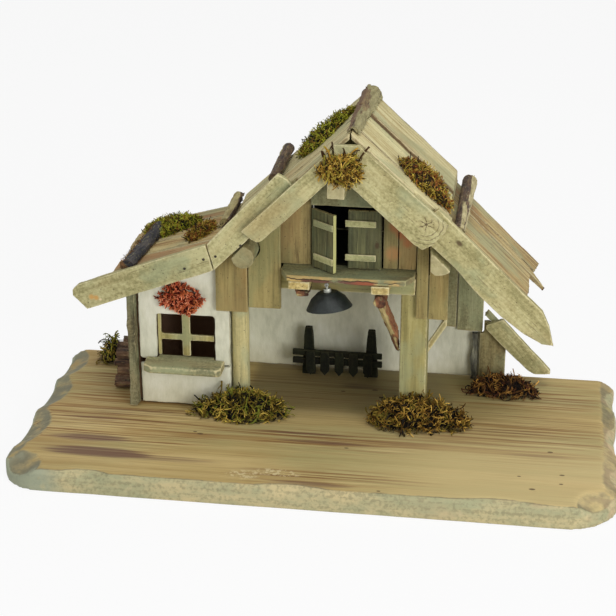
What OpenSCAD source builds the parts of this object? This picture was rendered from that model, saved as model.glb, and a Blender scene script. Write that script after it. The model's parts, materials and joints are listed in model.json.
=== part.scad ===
// Wooden nativity stable: a farmhouse front with an annex, a lean-to and a plank roof on a hewn board.
// X runs to the right, Y to the back and Z up. The origin lies under the middle of the board.
// A place in X or Y is measured from the middle of the board, and a height from the board's top.

/* [Base board] */
// Width of the base board
base_w = 506; // [490:1:560]
// Depth of the base board
base_d = 236; // [234:1:280]
// Thickness of the base board
base_t = 20; // [14:1:30]
// How deep the hewn scoops go at the board's edge
scoop_bite = 11; // [5:0.5:12]
// How far the hewn scoops reach in over the board's top
scoop_reach = 24; // [12:1:34]
// Radius of the gouge that hewed the scoops
scoop_r = 110; // [90:1:150]

/* [House] */
// Where the front faces of the lintel and the annex wall stand
front_y = 13; // [10:1:18]
// Where the front face of the rear wall stands
rear_y = 107; // [100:1:108]
// Thickness of the rear wall
rear_wall_t = 5; // [3:0.5:6]
// Left edge of the annex's plaster front
annex_left_x = -161; // [-170:1:-158]
// Right edge of the annex's plaster front
annex_right_x = -80.4; // [-84:0.2:-79]
// Right end of the rear wall
wall_right_x = 132.5; // [128:0.5:138]
// Thickness of the plaster walls
plaster_t = 6; // [4:0.5:8]
// Width and depth of the square centre post
post_w = 23.5; // [18:0.5:26]
// Left face of the centre post
post_x = 65; // [62:0.5:66]
// Radius of the round annex post
annex_post_r = 7.8; // [6:0.1:9]
// Height of the lintel's underside
lintel_h = 116; // [112:0.5:118]
// Height of the lintel's beam
lintel_t = 16; // [13:0.5:18]
// Depth of the lintel's beam, front to back
lintel_d = 20; // [14:0.5:24]

/* [Balcony and loft door] */
// Thickness of the balcony board
balcony_t = 6; // [4:0.5:7]
// How far the balcony reaches out in front of the lintel
balcony_reach = 22; // [18:0.5:24]
// Left edge of the loft door's opening
door_left_x = -10.4; // [-12:0.2:-8]
// Width of the loft door's opening
door_w = 60; // [56:0.5:62]
// Height of the loft door's opening as a share of the gable's height
door_share = 0.3658; // [0.3:0.0002:0.3758]
// Thickness of the gable boards
board_t = 5; // [3:0.5:5.5]
// Thickness of a shutter's boards
leaf_t = 3.8; // [3:0.2:5]
// Angle at which the left shutter stands open
left_open = 38; // [20:1:80]

/* [Roof] */
// Height of the ridge above the underside of the lintel
gable_h = 149; // [142:1:169]
// Where the ridge lies
ridge_x = 25; // [20:1:30]
// Pitch of the left slope
left_pitch = 43; // [41:0.5:45]
// Pitch of the upper right slope
right_pitch = 42.5; // [41:0.5:44]
// Pitch of the lower right slope
low_pitch = 44; // [42:0.5:46]
// Pitch of the annex roof
annex_pitch = 15.7; // [13:0.1:18]
// Thickness of the roof planks
plank_t = 5; // [3:0.5:7]
// Where the back edges of the roof planks end
roof_back_y = 113; // [112.5:0.5:116]
// Thickness of the bargeboards along the front edge of the roof
barge_t = 6; // [4:0.5:8]
// Where the back faces of the rear row of bargeboards stand
barge_back_y = -8; // [-12:0.5:-4]

/* [Annex window] */
// Left edge of the window
window_x = -144.4; // [-148:0.2:-140]
// Width of the window
window_w = 50; // [40:0.5:52]
// Height of the window's lower edge
window_sill_h = 46.5; // [42:0.5:50]
// Height of the window's opening
window_h = 39.5; // [34:0.5:44]
// Width of the bars of the window cross
window_bar = 7.5; // [4:0.5:9]

/* [Lamp] */
// Diameter of the shade at its rim
shade_d = 39; // [32:0.5:42]
// Diameter of the shade at its flat top
shade_top_d = 17; // [14:0.5:20]
// Height of the shade
shade_h = 13.5; // [11:0.5:18]
// Thickness of the shade's sheet
shade_t = 1; // [0.6:0.1:1.6]
// Tilt to the side at which the lamp hangs
lamp_tilt = 8; // [0:1:10]
// Tilt to the front at which the shade sits on its stem
lamp_nod = 7; // [0:1:10]

/* [Lean-to] */
// Pitch of the lean-to roof
lean_pitch = 45; // [41:0.5:46]
// Height of the lean-to roof at its upper end
lean_h = 70.5; // [66:0.5:76]
// Thickness of the lean-to planks
lean_plank_t = 5; // [3:0.5:6]

/* [Hay rack] */
// Length of the rails of the hay rack
rack_w = 82; // [76:0.5:90]
// Height of the hay rack's end boards
rack_h = 47; // [40:0.5:52]
// Number of pickets in the rack
rack_pickets = 5; // [4:1:6]

/* [Hidden] */
$fn = 48;

// Clearance between fixed pieces that seat on each other
fit = 0.2;
// Overrun of every cut
over = 1;
// Running clearance round a hinge pin
pin_fit = 0.08;
// Radius of the shutters' hinge pins
pin_r = 0.6;
// Facets of a rounded form that is blended by a hull
blend_fn = 20;

// Heights that the pieces share
floor_z = base_t;
lintel_z = floor_z + lintel_h;
balcony_under_z = lintel_z + lintel_t;
balcony_z = balcony_under_z + balcony_t;
door_h = door_share * gable_h;
head_z = balcony_z + door_h;
ridge_z = floor_z + lintel_h + gable_h;

// Depths that the pieces share
recess_set = 3;
recess_y = front_y + recess_set;
recess_back_y = recess_y + board_t;
hang_y = front_y - board_t;
barge_y = barge_back_y - barge_t;
barge_front_y = barge_y - barge_t;

// Where the boards of the gable stand from left to right
door_right_x = door_left_x + door_w;
hang_left_x = -91.5;
hang_mid_x = -63;
hang_right_x = -35;
shoulder_w = 13;
outer_left_x = post_x + shoulder_w;
outer_mid_x = post_x + post_w + fit;
outer_w = 27.3;
outer_right_x = outer_left_x + outer_w;
outer_foot_h = 95.5;
hang_foot_h = 99.3;
hang_foot_shares = [0.95, 1];

// Ends of the roof courses
left_run = 107;
right_run = 71;
annex_run = 95;
annex_tuck = 8;
left_end_x = ridge_x - left_run;
course_x = ridge_x + right_run;
eave_x = left_end_x - annex_run;
annex_top_end_x = left_end_x + annex_tuck;
seam_gap = 0.8;

// Heights of the roof's faces at a place x
function plumb(t, pitch) = t / cos(pitch);
function left_top(x) = ridge_z - (ridge_x - x) * tan(left_pitch);
function left_under(x) = left_top(x) - plumb(plank_t, left_pitch);
function right_top(x) = ridge_z - (x - ridge_x) * tan(right_pitch);
function right_under(x) = right_top(x) - plumb(plank_t, right_pitch);
function low_top(x) = right_under(course_x) - fit - (x - course_x) * tan(low_pitch);
function low_under(x) = low_top(x) - plumb(plank_t, low_pitch);
function annex_top(x) = left_under(left_end_x) - seam_gap - (left_end_x - x) * tan(annex_pitch);
function annex_under(x) = annex_top(x) - plumb(plank_t, annex_pitch);
function roof_under(x) = x < annex_top_end_x ? annex_under(x)
    : x < ridge_x ? left_under(x)
    : x < course_x ? right_under(x)
    : low_under(x);

// A point u along and v across a board that falls to the left or to the right from a corner
function fall_left(corner, pitch, u, v) =
    [corner[0] - u * cos(pitch) + v * sin(pitch), corner[1] - u * sin(pitch) - v * cos(pitch)];
function fall_right(corner, pitch, u, v) =
    [corner[0] + u * cos(pitch) - v * sin(pitch), corner[1] - u * sin(pitch) - v * cos(pitch)];

// Points of a half circle or another arc, for worn and rounded ends
function arc(centre, r, from, to, steps = 8) =
    [for (i = [0 : steps]) let (a = from + (to - from) * i / steps) centre + r * [cos(a), sin(a)]];

// Extrudes an outline, drawn in X and height, from y0 back to y1
module upright(points, y0, y1) {
    translate([0, y1, 0])
        rotate([90, 0, 0])
            linear_extrude(y1 - y0)
                polygon(points);
}

// A box between two corners
module block(low, high) {
    translate(low)
        cube(high - low);
}

// A board from x0 to x1 whose top is cut to the roof, less the clearance
module board_to_roof(x0, x1, foot_z, y0, y1) {
    upright([[x0, foot_z], [x1, foot_z], [x1, roof_under(x1) - fit], [x0, roof_under(x0) - fit]], y0, y1);
}

// A board of the gable whose top crosses under the ridge
module board_under_ridge(x0, x1, foot_z, y0, y1) {
    upright([[x0, foot_z], [x1, foot_z], [x1, roof_under(x1) - fit],
        [ridge_x, roof_under(ridge_x) - fit], [x0, roof_under(x0) - fit]], y0, y1);
}

// Base board

// A gouge cut on an edge along Y: it bites into the edge and runs out over the top
module edge_scoop(r, bite, reach) {
    slope = atan(bite / reach);
    translate([-r * sin(slope), 0, r * cos(slope) - bite])
        rotate([0, 90 - slope, 0])
            translate([0, 0, -2 * r])
                cylinder(r = r, h = 4 * r, $fn = 160);
}

// A shallow hollow that runs down the whole side of the board
module side_hollow(r, bite) {
    translate([bite - r, 0, -over])
        cylinder(r = r, h = base_t + 2 * over, $fn = 160);
}

// Where the scoops stand along the left, front and right edges, with their size
left_scoop_shares = [[0.38, 0.9], [0.125, 1], [-0.165, 1.15]];
front_scoop_shares = [[-0.352, 0.68, 0.6], [-0.02, 0.55, 1.5], [0.31, 0.6, 1.8]];
right_scoop_shares = [[0.36, 0.9, 0.8], [0.04, 1, 1], [-0.24, 0.8, 0.7]];
hollow_share = 0.25;
// How much of the scoops' bite is hewn off along the whole of an end
hewn_share = 0.6;
corner_r = 34;
back_corner_r = 9;
front_bevel = 5;

module base_board() {
    half_w = base_w / 2;
    half_d = base_d / 2;
    wide_r = 1.3 * corner_r;
    plan = concat(arc([back_corner_r - half_w, half_d - back_corner_r], back_corner_r, 90, 180, 4),
        arc([corner_r - half_w, corner_r - half_d], corner_r, 180, 270, 10),
        arc([half_w - wide_r, wide_r - half_d], wide_r, -90, 0, 10),
        arc([half_w - back_corner_r, half_d - back_corner_r], back_corner_r, 0, 90, 4));
    color("burlywood")
        difference() {
            linear_extrude(base_t)
                polygon(plan);
            for (turn = [0, 180])
                rotate([0, 0, turn])
                    upright([[-half_w - scoop_reach, base_t - (1 + hewn_share) * scoop_bite],
                        [scoop_reach - half_w, base_t + (1 - hewn_share) * scoop_bite],
                        [-half_w - scoop_reach, base_t + (1 - hewn_share) * scoop_bite]], -base_d, base_d);
            for (s = left_scoop_shares)
                translate([-half_w, s[0] * base_d, 0]) {
                    side_hollow(1.6 * scoop_r * s[1], hollow_share * scoop_bite);
                    translate([0, 0, base_t])
                        edge_scoop(scoop_r * s[1], scoop_bite, scoop_reach);
                }
            for (s = front_scoop_shares)
                translate([s[0] * base_w, -half_d, base_t])
                    rotate([0, 0, 90])
                        edge_scoop(scoop_r * s[2], scoop_bite * s[1], scoop_reach * 0.36);
            for (s = right_scoop_shares)
                translate([half_w, s[0] * base_d, 0])
                    rotate([0, 0, 180]) {
                        side_hollow(1.6 * scoop_r * s[2], hollow_share * scoop_bite * s[1]);
                        translate([0, 0, base_t])
                            edge_scoop(scoop_r * s[2], scoop_bite * s[1], scoop_reach * 0.5);
                    }
            translate([-half_w, -half_d, base_t])
                rotate([0, 0, 40])
                    edge_scoop(scoop_r * 0.45, scoop_bite * 1.6, scoop_reach * 1.7);
            translate([half_w, -half_d, base_t])
                rotate([0, 0, 140])
                    edge_scoop(scoop_r * 0.45, scoop_bite * 1.5, scoop_reach * 1.7);
            translate([0, -half_d, base_t])
                rotate([45, 0, 0])
                    cube([base_w + 2 * over, front_bevel, front_bevel], center = true);
        }
}

// Walls

module rear_wall() {
    left_x = annex_left_x - plaster_t;
    outline = [[left_x, floor_z], [wall_right_x, floor_z], [wall_right_x, low_under(wall_right_x) - fit],
        [course_x, low_under(course_x) - fit], [course_x, right_under(course_x) - fit],
        [ridge_x, right_under(ridge_x) - fit], [annex_top_end_x, left_under(annex_top_end_x) - fit],
        [annex_top_end_x, annex_under(annex_top_end_x) - fit], [left_x, annex_under(left_x) - fit]];
    color("whitesmoke")
        upright(outline, rear_y, rear_y + rear_wall_t);
}

cladding_t = 3;
cladding_foot_h = 47;
cladding_w = 24;
cladding_joints = [course_x, wall_right_x - cladding_w, wall_right_x];

module rear_cladding() {
    color("darkkhaki")
        for (i = [0 : len(cladding_joints) - 2])
            board_to_roof(cladding_joints[i] + fit, cladding_joints[i + 1],
                floor_z + cladding_foot_h + (1 - i) * cladding_t, rear_y - cladding_t, rear_y);
}

strip_w = 7.5;
// How far the lean-to's post laps the end of the rear wall
post_lap = 3;

module rear_corner_strip() {
    x1 = wall_right_x - post_lap - fit;
    x0 = x1 - strip_w;
    foot_run = strip_w * 0.6;
    color("dimgray")
        upright([[x0, floor_z], [x1, floor_z], [x1, floor_z + cladding_foot_h - fit],
            [x0, floor_z + cladding_foot_h - fit], [x0 + strip_w * 0.2, floor_z + cladding_foot_h * 0.7],
            [x0 - strip_w * 0.1, floor_z + cladding_foot_h * 0.45],
            [x0 + strip_w * 0.15, floor_z + foot_run]], rear_y - plaster_t, rear_y);
}

// How far the upper plaster stands out over the lower wall
plaster_step = 1.5;
plaster_joint_h = 41;

module annex_upper_wall() {
    x0 = annex_left_x;
    x1 = annex_right_x;
    foot_z = floor_z + plaster_joint_h;
    left_foot_z = foot_z + window_sill_h * 0.07;
    top_gap = fit;
    window_right_x = window_x + window_w;
    window_top_z = floor_z + window_sill_h + window_h;
    color("whitesmoke")
        upright([[x0, left_foot_z], [window_x * 0.6 + x0 * 0.4, foot_z], [window_x, left_foot_z],
            [window_x, window_top_z], [window_right_x, window_top_z], [window_right_x, foot_z],
            [window_right_x * 0.7 + x1 * 0.3, foot_z - plaster_step], [x1, foot_z],
            [x1, annex_under(x1) - top_gap], [x0, annex_under(x0) - top_gap]],
            front_y, front_y + plaster_t);
}

module annex_lower_wall() {
    x0 = annex_left_x;
    x1 = annex_right_x;
    top_z = floor_z + plaster_joint_h - plaster_step - fit;
    color("whitesmoke")
        upright([[x0, floor_z], [x1, floor_z], [x1, top_z], [x0, top_z]],
            front_y + plaster_step, front_y + plaster_t);
}

module annex_side_wall() {
    x0 = annex_left_x - plaster_t;
    top_z = annex_under(x0) - fit;
    color("whitesmoke")
        upright([[x0, floor_z], [annex_left_x, floor_z], [annex_left_x, annex_under(annex_left_x) - fit],
            [x0, top_z]], front_y + plaster_t + fit, rear_y - fit);
}

module annex_partition() {
    x1 = annex_right_x;
    x0 = x1 - plaster_t * 0.6;
    color("whitesmoke")
        board_to_roof(x0, x1, floor_z, front_y + plaster_t + fit, rear_y - fit);
}

// Window

module window_cross() {
    mid_x = window_x + window_w / 2;
    sill_z = floor_z + window_sill_h;
    mid_z = sill_z + window_h * 0.45;
    depth = plaster_t * 0.5;
    y0 = front_y + plaster_t - depth;
    half = window_bar / 2;
    inner_x0 = window_x + fit;
    inner_x1 = window_x + window_w - fit;
    color("darkkhaki")
        union() {
            block([mid_x - half, y0, sill_z + fit], [mid_x + half, y0 + depth, sill_z + window_h - fit]);
            block([inner_x0, y0, mid_z - half * 0.75], [inner_x1, y0 + depth, mid_z + half * 0.75]);
            block([inner_x0, y0, sill_z + fit], [inner_x0 + half * 0.8, y0 + depth, sill_z + window_h - fit]);
        }
}

sill_overhang = 9.5;
sill_reach = 22;
sill_t = 7.5;

module window_sill() {
    x0 = window_x - sill_overhang;
    x1 = window_x + window_w + sill_overhang;
    z1 = floor_z + window_sill_h;
    z0 = z1 - sill_t;
    edge = sill_t * 0.35;
    y0 = front_y - sill_reach;
    back_y = front_y - fit;
    // The side profile of the ledge, with its rounded front, cut to the plan of its tapering ends
    color("darkkhaki")
        union() {
            intersection() {
                translate([x0, 0, 0])
                    rotate([90, 0, 90])
                        linear_extrude(x1 - x0)
                            polygon(concat([[back_y, z1], [y0 + edge, z1]],
                                arc([y0 + edge, z1 - edge], edge, 90, 180, 4),
                                arc([y0 + edge, z0 + edge], edge, 180, 270, 4), [[back_y, z0]]));
                translate([0, 0, z0 - over])
                    linear_extrude(sill_t + 2 * over)
                        polygon([[x0, back_y + over], [x0, front_y - sill_reach * 0.75],
                            [x0 + sill_overhang, y0 - over], [x1 - sill_overhang * 0.5, y0 - over],
                            [x1, front_y - sill_reach * 0.8], [x1, back_y + over]]);
            }
            block([window_x + fit, back_y - over, z1 - plaster_step],
                [window_x + window_w - fit, front_y + plaster_t, z1]);
        }
}

// Posts, lintel and balcony

corner_w = 9;
corner_d = 12;
corner_reach = 7;
corner_wave_shares = [[0, 0], [0.1, 0.35], [0.02, 0.6], [0.12, 0.8], [0, 1]];

module left_corner_post() {
    x1 = annex_left_x - fit;
    x0 = x1 - corner_w;
    top0 = annex_under(x0) - fit;
    y0 = front_y - corner_reach;
    color("gray")
        upright(concat([[x1, floor_z], [x1, annex_under(x1) - fit]],
            [for (i = [len(corner_wave_shares) - 1 : -1 : 0]) let (s = corner_wave_shares[i])
                [x0 + s[0] * corner_w, floor_z + s[1] * (top0 - floor_z)]]), y0, y0 + corner_d);
}

annex_post_x = annex_right_x + annex_post_r + 2 * fit;
annex_post_y = front_y + annex_post_r + 2 * fit;

module annex_post() {
    color("darkkhaki")
        translate([annex_post_x, annex_post_y, floor_z])
            cylinder(r = annex_post_r, h = lintel_h - fit);
}

post_y = front_y + board_t;

module centre_post() {
    x1 = post_x + post_w;
    shoulder_x = outer_left_x + 2 * fit;
    arris = post_w * 0.06;
    color("darkkhaki")
        difference() {
            upright([[post_x, floor_z], [x1, floor_z], [x1, balcony_under_z - fit],
                [shoulder_x, balcony_under_z - fit], [shoulder_x, lintel_z - fit],
                [post_x, lintel_z - fit]], post_y, post_y + post_w);
            for (x = [post_x, x1])
                translate([x, post_y, floor_z - over])
                    rotate([0, 0, 45])
                        translate([-arris / 2, -arris / 2, 0])
                            cube([arris, arris, balcony_under_z]);
        }
}

lintel_left_x = annex_post_x - annex_post_r;
lintel_back_y = front_y + lintel_d;

module lintel() {
    color("tan")
        difference() {
            block([lintel_left_x, front_y, lintel_z], [outer_left_x, lintel_back_y, balcony_under_z - fit]);
            beam_notches();
        }
}

joist_reach = 21;
left_joist_reach = 19;
joist_h = 8;
joist_left_x = -27;
joist_left_w = 18.5;
joist_right_x = 42;
joist_right_w = 16;
joist_z = balcony_under_z - fit - joist_h;

module joist_ends() {
    y1 = front_y - fit;
    color("tan") {
        block([joist_left_x, front_y - left_joist_reach, joist_z],
            [joist_left_x + joist_left_w, y1, joist_z + joist_h]);
        block([joist_right_x, front_y - joist_reach, joist_z],
            [joist_right_x + joist_right_w, y1, joist_z + joist_h]);
    }
}

joist_log_w = 12.5;
joist_log_h = 6.2;

module left_joist_log() {
    x1 = joist_left_x + joist_left_w;
    x0 = x1 - joist_log_w;
    z1 = joist_z - fit;
    z0 = z1 - joist_log_h;
    r = joist_log_h * 0.45;
    y0 = front_y - left_joist_reach;
    color("peru")
        upright(concat([[x1, z1], [x0, z1]], arc([x0 + r, z0 + r], r, 180, 270, 5),
            arc([x1 - r, z0 + r], r, 270, 360, 5)), y0, front_y - fit);
}

balcony_left_x = hang_right_x + fit;
// How far the bark edge weaves in and out
bark_wave_shares = [0.06, 0, 0.05, 0.02, 0.07, 0.04, 0, 0.03, 0.08, 0.05, 0.1];

module balcony_board() {
    x1 = outer_left_x - fit;
    y0 = front_y - balcony_reach;
    n = len(bark_wave_shares) - 1;
    color("darkkhaki")
        translate([0, 0, balcony_under_z])
            linear_extrude(balcony_t)
                polygon(concat([[x1, recess_back_y], [balcony_left_x, recess_back_y],
                    [balcony_left_x, front_y - balcony_reach * 0.3]],
                    [for (i = [0 : n]) [balcony_left_x + (0.06 + 0.88 * i / n) * (x1 - balcony_left_x),
                        y0 + bark_wave_shares[i] * balcony_reach]],
                    [[x1, front_y - balcony_reach * 0.35]]));
}

module loft_floor() {
    color("burlywood")
        difference() {
            block([annex_post_x, recess_back_y + fit, balcony_under_z],
                [course_x - plank_t, rear_y - fit, balcony_z - fit]);
            beam_notches();
        }
}

// Braces

brace_r = 6.2;
brace_head_x = joist_right_x + joist_right_w / 2;
brace_head_z = joist_z - brace_r - fit;
brace_foot_h = 65;
brace_foot_z = floor_z + brace_foot_h;

module bark_brace() {
    head_y = front_y - joist_reach;
    color("sienna")
        difference() {
            union() {
                translate([brace_head_x, front_y - fit, brace_head_z])
                    rotate([90, 0, 0])
                        cylinder(r = brace_r, h = joist_reach - fit, $fn = 24);
                hull() {
                    translate([brace_head_x, head_y + 1.2 * brace_r, brace_head_z])
                        sphere(r = brace_r * 0.97, $fn = blend_fn);
                    translate([post_x, post_y + brace_r, brace_foot_z])
                        sphere(r = brace_r * 0.9, $fn = blend_fn);
                }
            }
            block([post_x - fit, post_y - fit - post_w, 0],
                [post_x + 2 * post_w, post_y + 2 * post_w, ridge_z]);
        }
}

square_brace_w = 11;
square_brace_t = 6;
square_brace_h = 61;
square_brace_pitch = 59;

module square_brace() {
    x0 = post_x + post_w + fit;
    x1 = outer_right_x - fit;
    foot_z = floor_z + square_brace_h;
    rise = (x1 - x0) * tan(square_brace_pitch);
    color("tan")
        upright([[x0, foot_z], [x1, foot_z + rise], [x1, foot_z + rise + square_brace_w],
            [x0, foot_z + square_brace_w]], post_y + fit, post_y + fit + square_brace_t);
}

// Beams under the roof

beam_reach = 29;
ridge_beam_w = 15.5;
ridge_beam_h = 14.5;
ridge_beam_shift = 19;
ridge_beam_x = ridge_x - ridge_beam_shift;
ridge_beam_drop = 0.286 * gable_h;
left_beam_r = 10;
left_beam_run = 19;
left_beam_drop = 9;
left_beam_x = left_end_x + left_beam_run;
left_beam_z = left_under(left_beam_x) - plumb(left_beam_r, left_pitch) - left_beam_drop;
right_beam_w = 17;
right_beam_set = 5;
right_beam_x = course_x - right_beam_set;
right_beam_h = 28.2;
right_beam_foot_z = low_under(right_beam_x + right_beam_w) - fit - right_beam_h;

module ridge_beam() {
    z1 = ridge_z - ridge_beam_drop;
    color("tan")
        block([ridge_beam_x, front_y - beam_reach, z1 - ridge_beam_h],
            [ridge_beam_x + ridge_beam_w, rear_y - fit, z1]);
}

module left_beam() {
    color("tan")
        difference() {
            translate([left_beam_x, rear_y - fit, left_beam_z])
                rotate([90, 0, 0])
                    cylinder(r = left_beam_r, h = rear_y - fit - front_y + beam_reach);
            // The beam's front end is cut away along the foot of the middle bargeboard
            upright([fall_left(barge_joint, barge_middle_pitch, 0, barge_middle_w + fit),
                fall_left(barge_joint, barge_middle_pitch, -barge_middle_len, barge_middle_w + fit),
                fall_left(barge_joint, barge_middle_pitch, -barge_middle_len, -barge_middle_w),
                fall_left(barge_joint, barge_middle_pitch, 0, -barge_middle_w)], -base_d, barge_back_y + fit);
        }
}

module right_beam() {
    x1 = right_beam_x + right_beam_w;
    z0 = right_beam_foot_z;
    worn = right_beam_w * 0.25;
    corner = [course_x, low_top(course_x) + barge_low_rise];
    foot = 1.06 * barge_low_w + fit;
    color("tan")
        difference() {
            upright([[right_beam_x + worn, z0], [x1 - worn, z0 + worn * 0.4], [x1, z0 + worn],
                [x1, low_under(x1) - fit], [course_x, low_under(course_x) - fit],
                [right_beam_x, low_under(course_x) - fit], [right_beam_x, z0 + worn]],
                front_y - beam_reach, rear_y - cladding_t - fit);
            // The beam's front end is cut away along the foot of the lower bargeboard
            upright([fall_right(corner, low_pitch, 0, foot),
                fall_right(corner, low_pitch, barge_low_len, foot),
                fall_right(corner, low_pitch, barge_low_len, 0), [course_x, ridge_z]],
                -base_d, barge_back_y + fit);
        }
}

// The room that a board leaves round a beam that passes it
module beam_notches() {
    block([ridge_beam_x - fit, -base_d, ridge_z - ridge_beam_drop - ridge_beam_h - fit],
        [ridge_beam_x + ridge_beam_w + fit, base_d, ridge_z - ridge_beam_drop + fit]);
    translate([left_beam_x, base_d, left_beam_z])
        rotate([90, 0, 0])
            cylinder(r = left_beam_r + fit, h = 2 * base_d);
    block([right_beam_x - fit, -base_d, right_beam_foot_z - fit],
        [right_beam_x + right_beam_w + fit, base_d, ridge_z]);
}

// Boards of the gable

module hanging_boards_left() {
    color("tan")
        difference() {
            union() {
                board_to_roof(hang_left_x, hang_mid_x - fit, floor_z + hang_foot_h * hang_foot_shares[0],
                    hang_y - fit, front_y - fit);
                board_to_roof(hang_mid_x, hang_right_x, floor_z + hang_foot_h * hang_foot_shares[1],
                    hang_y - fit, front_y - fit);
            }
            beam_notches();
            block([hang_left_x - over, -base_d, annex_under(hang_left_x) - fit],
                [annex_top_end_x + fit, base_d, ridge_z]);
        }
}

module hanging_boards_right() {
    color("tan")
        difference() {
            union() {
                board_to_roof(outer_left_x, outer_mid_x - fit, floor_z + outer_foot_h, front_y, post_y - fit);
                board_to_roof(outer_mid_x, outer_right_x, floor_z + outer_foot_h, front_y, post_y - fit);
            }
            beam_notches();
        }
}

module gable_board_left() {
    color("tan")
        board_to_roof(hang_right_x - board_t, door_left_x, balcony_z, recess_y, recess_back_y);
}

right_joint_share = 0.45;

module gable_boards_right() {
    mid_x = door_right_x + (outer_left_x - door_right_x) * right_joint_share;
    color("tan") {
        board_to_roof(door_right_x, mid_x, balcony_z, recess_y, recess_back_y);
        board_to_roof(mid_x + fit, outer_left_x - fit, balcony_z, recess_y, recess_back_y);
    }
}

head_t = board_t - fit;
head_joint_x = 21.7;

module head_boards() {
    color("darkkhaki")
        difference() {
            union() {
                // The two boards that stand out over the door
                board_to_roof(door_left_x - fit, head_joint_x, head_z, recess_y - head_t, recess_y - fit);
                board_under_ridge(head_joint_x + fit, door_right_x + fit, head_z,
                    recess_y - head_t, recess_y - fit);
                // The filling behind them, between the boards beside the door
                board_under_ridge(door_left_x + fit, door_right_x - fit, head_z,
                    recess_y - fit, recess_back_y);
            }
            beam_notches();
        }
}

// Shutters, drawn closed and hung on their pins

leaf_gap = 0.7;
leaf_head_gap = 2.5;
leaf_foot_z = balcony_z + leaf_gap;
leaf_h = door_h - leaf_gap - leaf_head_gap;
leaf_side_gap = 0.4;
pin_y = recess_y - fit - leaf_t / 2;
left_pin_x = door_left_x + leaf_t / 2 + leaf_side_gap;
right_pin_x = door_right_x - leaf_t / 2 - leaf_side_gap;
left_leaf_w = 25.5;
right_leaf_w = 26.5;
batten_w = 6;
batten_t = 1.8;
batten_lap = 2.3;
batten_place_shares = [0.2, 0.78];
leaf_boards = 3;
slit_w = 1;
slit_t = 1.2;

// A leaf that runs from its pin towards +X: three boards with a slit between neighbours
module leaf_panel(w) {
    r = leaf_t / 2;
    difference() {
        union() {
            cylinder(r = r, h = leaf_h);
            translate([0, -r, 0])
                cube([w, leaf_t, leaf_h]);
        }
        translate([0, 0, -over])
            cylinder(r = pin_r + pin_fit, h = leaf_h + 2 * over);
        for (i = [1 : leaf_boards - 1], side = [-1, 1])
            translate([w * i / leaf_boards, side * r, leaf_h / 2])
                cube([slit_w, 2 * slit_t, leaf_h + 2 * over], center = true);
    }
}

// The two battens on the outer face of a leaf
module leaf_battens(from, to) {
    for (s = batten_place_shares)
        translate([from, -leaf_t / 2 - batten_t - fit / 4, s * leaf_h - batten_w / 2])
            cube([to - from, batten_t, batten_w]);
}

module at_left_pin() {
    translate([left_pin_x, pin_y, leaf_foot_z])
        rotate([0, 0, -left_open])
            children();
}

module at_right_pin() {
    translate([right_pin_x, pin_y, leaf_foot_z])
        mirror([1, 0, 0])
            children();
}

module left_shutter_boards() {
    color("darkolivegreen") at_left_pin() leaf_panel(left_leaf_w);
}

module left_shutter_battens() {
    color("darkkhaki") at_left_pin() leaf_battens(leaf_t * 0.75, left_leaf_w);
}

module right_shutter_boards() {
    color("darkolivegreen") at_right_pin() leaf_panel(right_leaf_w);
}

module right_shutter_battens() {
    color("darkkhaki") at_right_pin() leaf_battens(leaf_t * 0.75, right_leaf_w + batten_lap);
}

module hinge_pin(x) {
    color("silver")
        translate([x, pin_y, balcony_z])
            cylinder(r = pin_r, h = door_h, $fn = 24);
}

module left_hinge_pin() {
    hinge_pin(left_pin_x);
}

module right_hinge_pin() {
    hinge_pin(right_pin_x);
}

// Bargeboards: each is drawn from its upper corner, along its fall and across its width

barge_annex_len = 127;
barge_annex_w = 24;
barge_annex_rise = 9;
barge_annex_pitch = annex_pitch + 5;
barge_annex_tip_shares = [[0.934, 0], [0.985, 0.12], [1, 0.34], [0.943, 1]];
barge_joint_run = 12;
barge_joint_x = left_end_x - barge_joint_run;
barge_joint = [barge_joint_x, annex_top(barge_joint_x) + barge_annex_rise];
barge_joint_foot = fall_left(barge_joint, barge_annex_pitch, 0.02 * barge_annex_len, barge_annex_w);

module bargeboard_annex() {
    color("darkkhaki")
        upright(concat([barge_joint], [for (s = barge_annex_tip_shares)
            fall_left(barge_joint, barge_annex_pitch, s[0] * barge_annex_len, s[1] * barge_annex_w)],
            [barge_joint_foot]), barge_y, barge_back_y);
}

barge_middle_len = 88;
barge_middle_w = 22;
barge_middle_pitch = left_pitch + 4;

module bargeboard_left_middle() {
    top = fall_left(barge_joint, barge_middle_pitch, -barge_middle_len, 0);
    color("darkkhaki")
        upright([barge_joint + [fit, 0], top,
            fall_left(top, barge_middle_pitch, -0.03 * barge_middle_len, 0.45 * barge_middle_w),
            fall_left(top, barge_middle_pitch, 0, barge_middle_w),
            fall_left(top, barge_middle_pitch, 0.72 * barge_middle_len, barge_middle_w),
            barge_joint_foot + [fit, 0]], barge_y, barge_back_y);
}

apex_run = 13;
apex_x = ridge_x - apex_run;
barge_upper_w = 18.5;
barge_upper_len = 106;
barge_upper_pitch = left_pitch + 1.5;
barge_upper_end_shares = [[1, 0], [0.99, 0.55], [0.97, 0.9], [0.93, 1]];

module bargeboard_left_upper() {
    top = [apex_x - fit, left_top(apex_x) - fit];
    color("darkkhaki")
        upright(concat([top], [for (s = barge_upper_end_shares)
            fall_left(top, barge_upper_pitch, s[0] * barge_upper_len, s[1] * barge_upper_w)],
            [top - [0, plumb(barge_upper_w, barge_upper_pitch)]]), barge_front_y, barge_y - fit);
}

barge_right_w = 30.5;
barge_right_len = 99;
barge_right_pitch = right_pitch - 1;
barge_right_end_shares = [[0.98, 0], [0.995, 0.18], [1, 0.65], [0.965, 0.98], [0.88, 1.03]];
barge_flat_w = 21;

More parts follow.
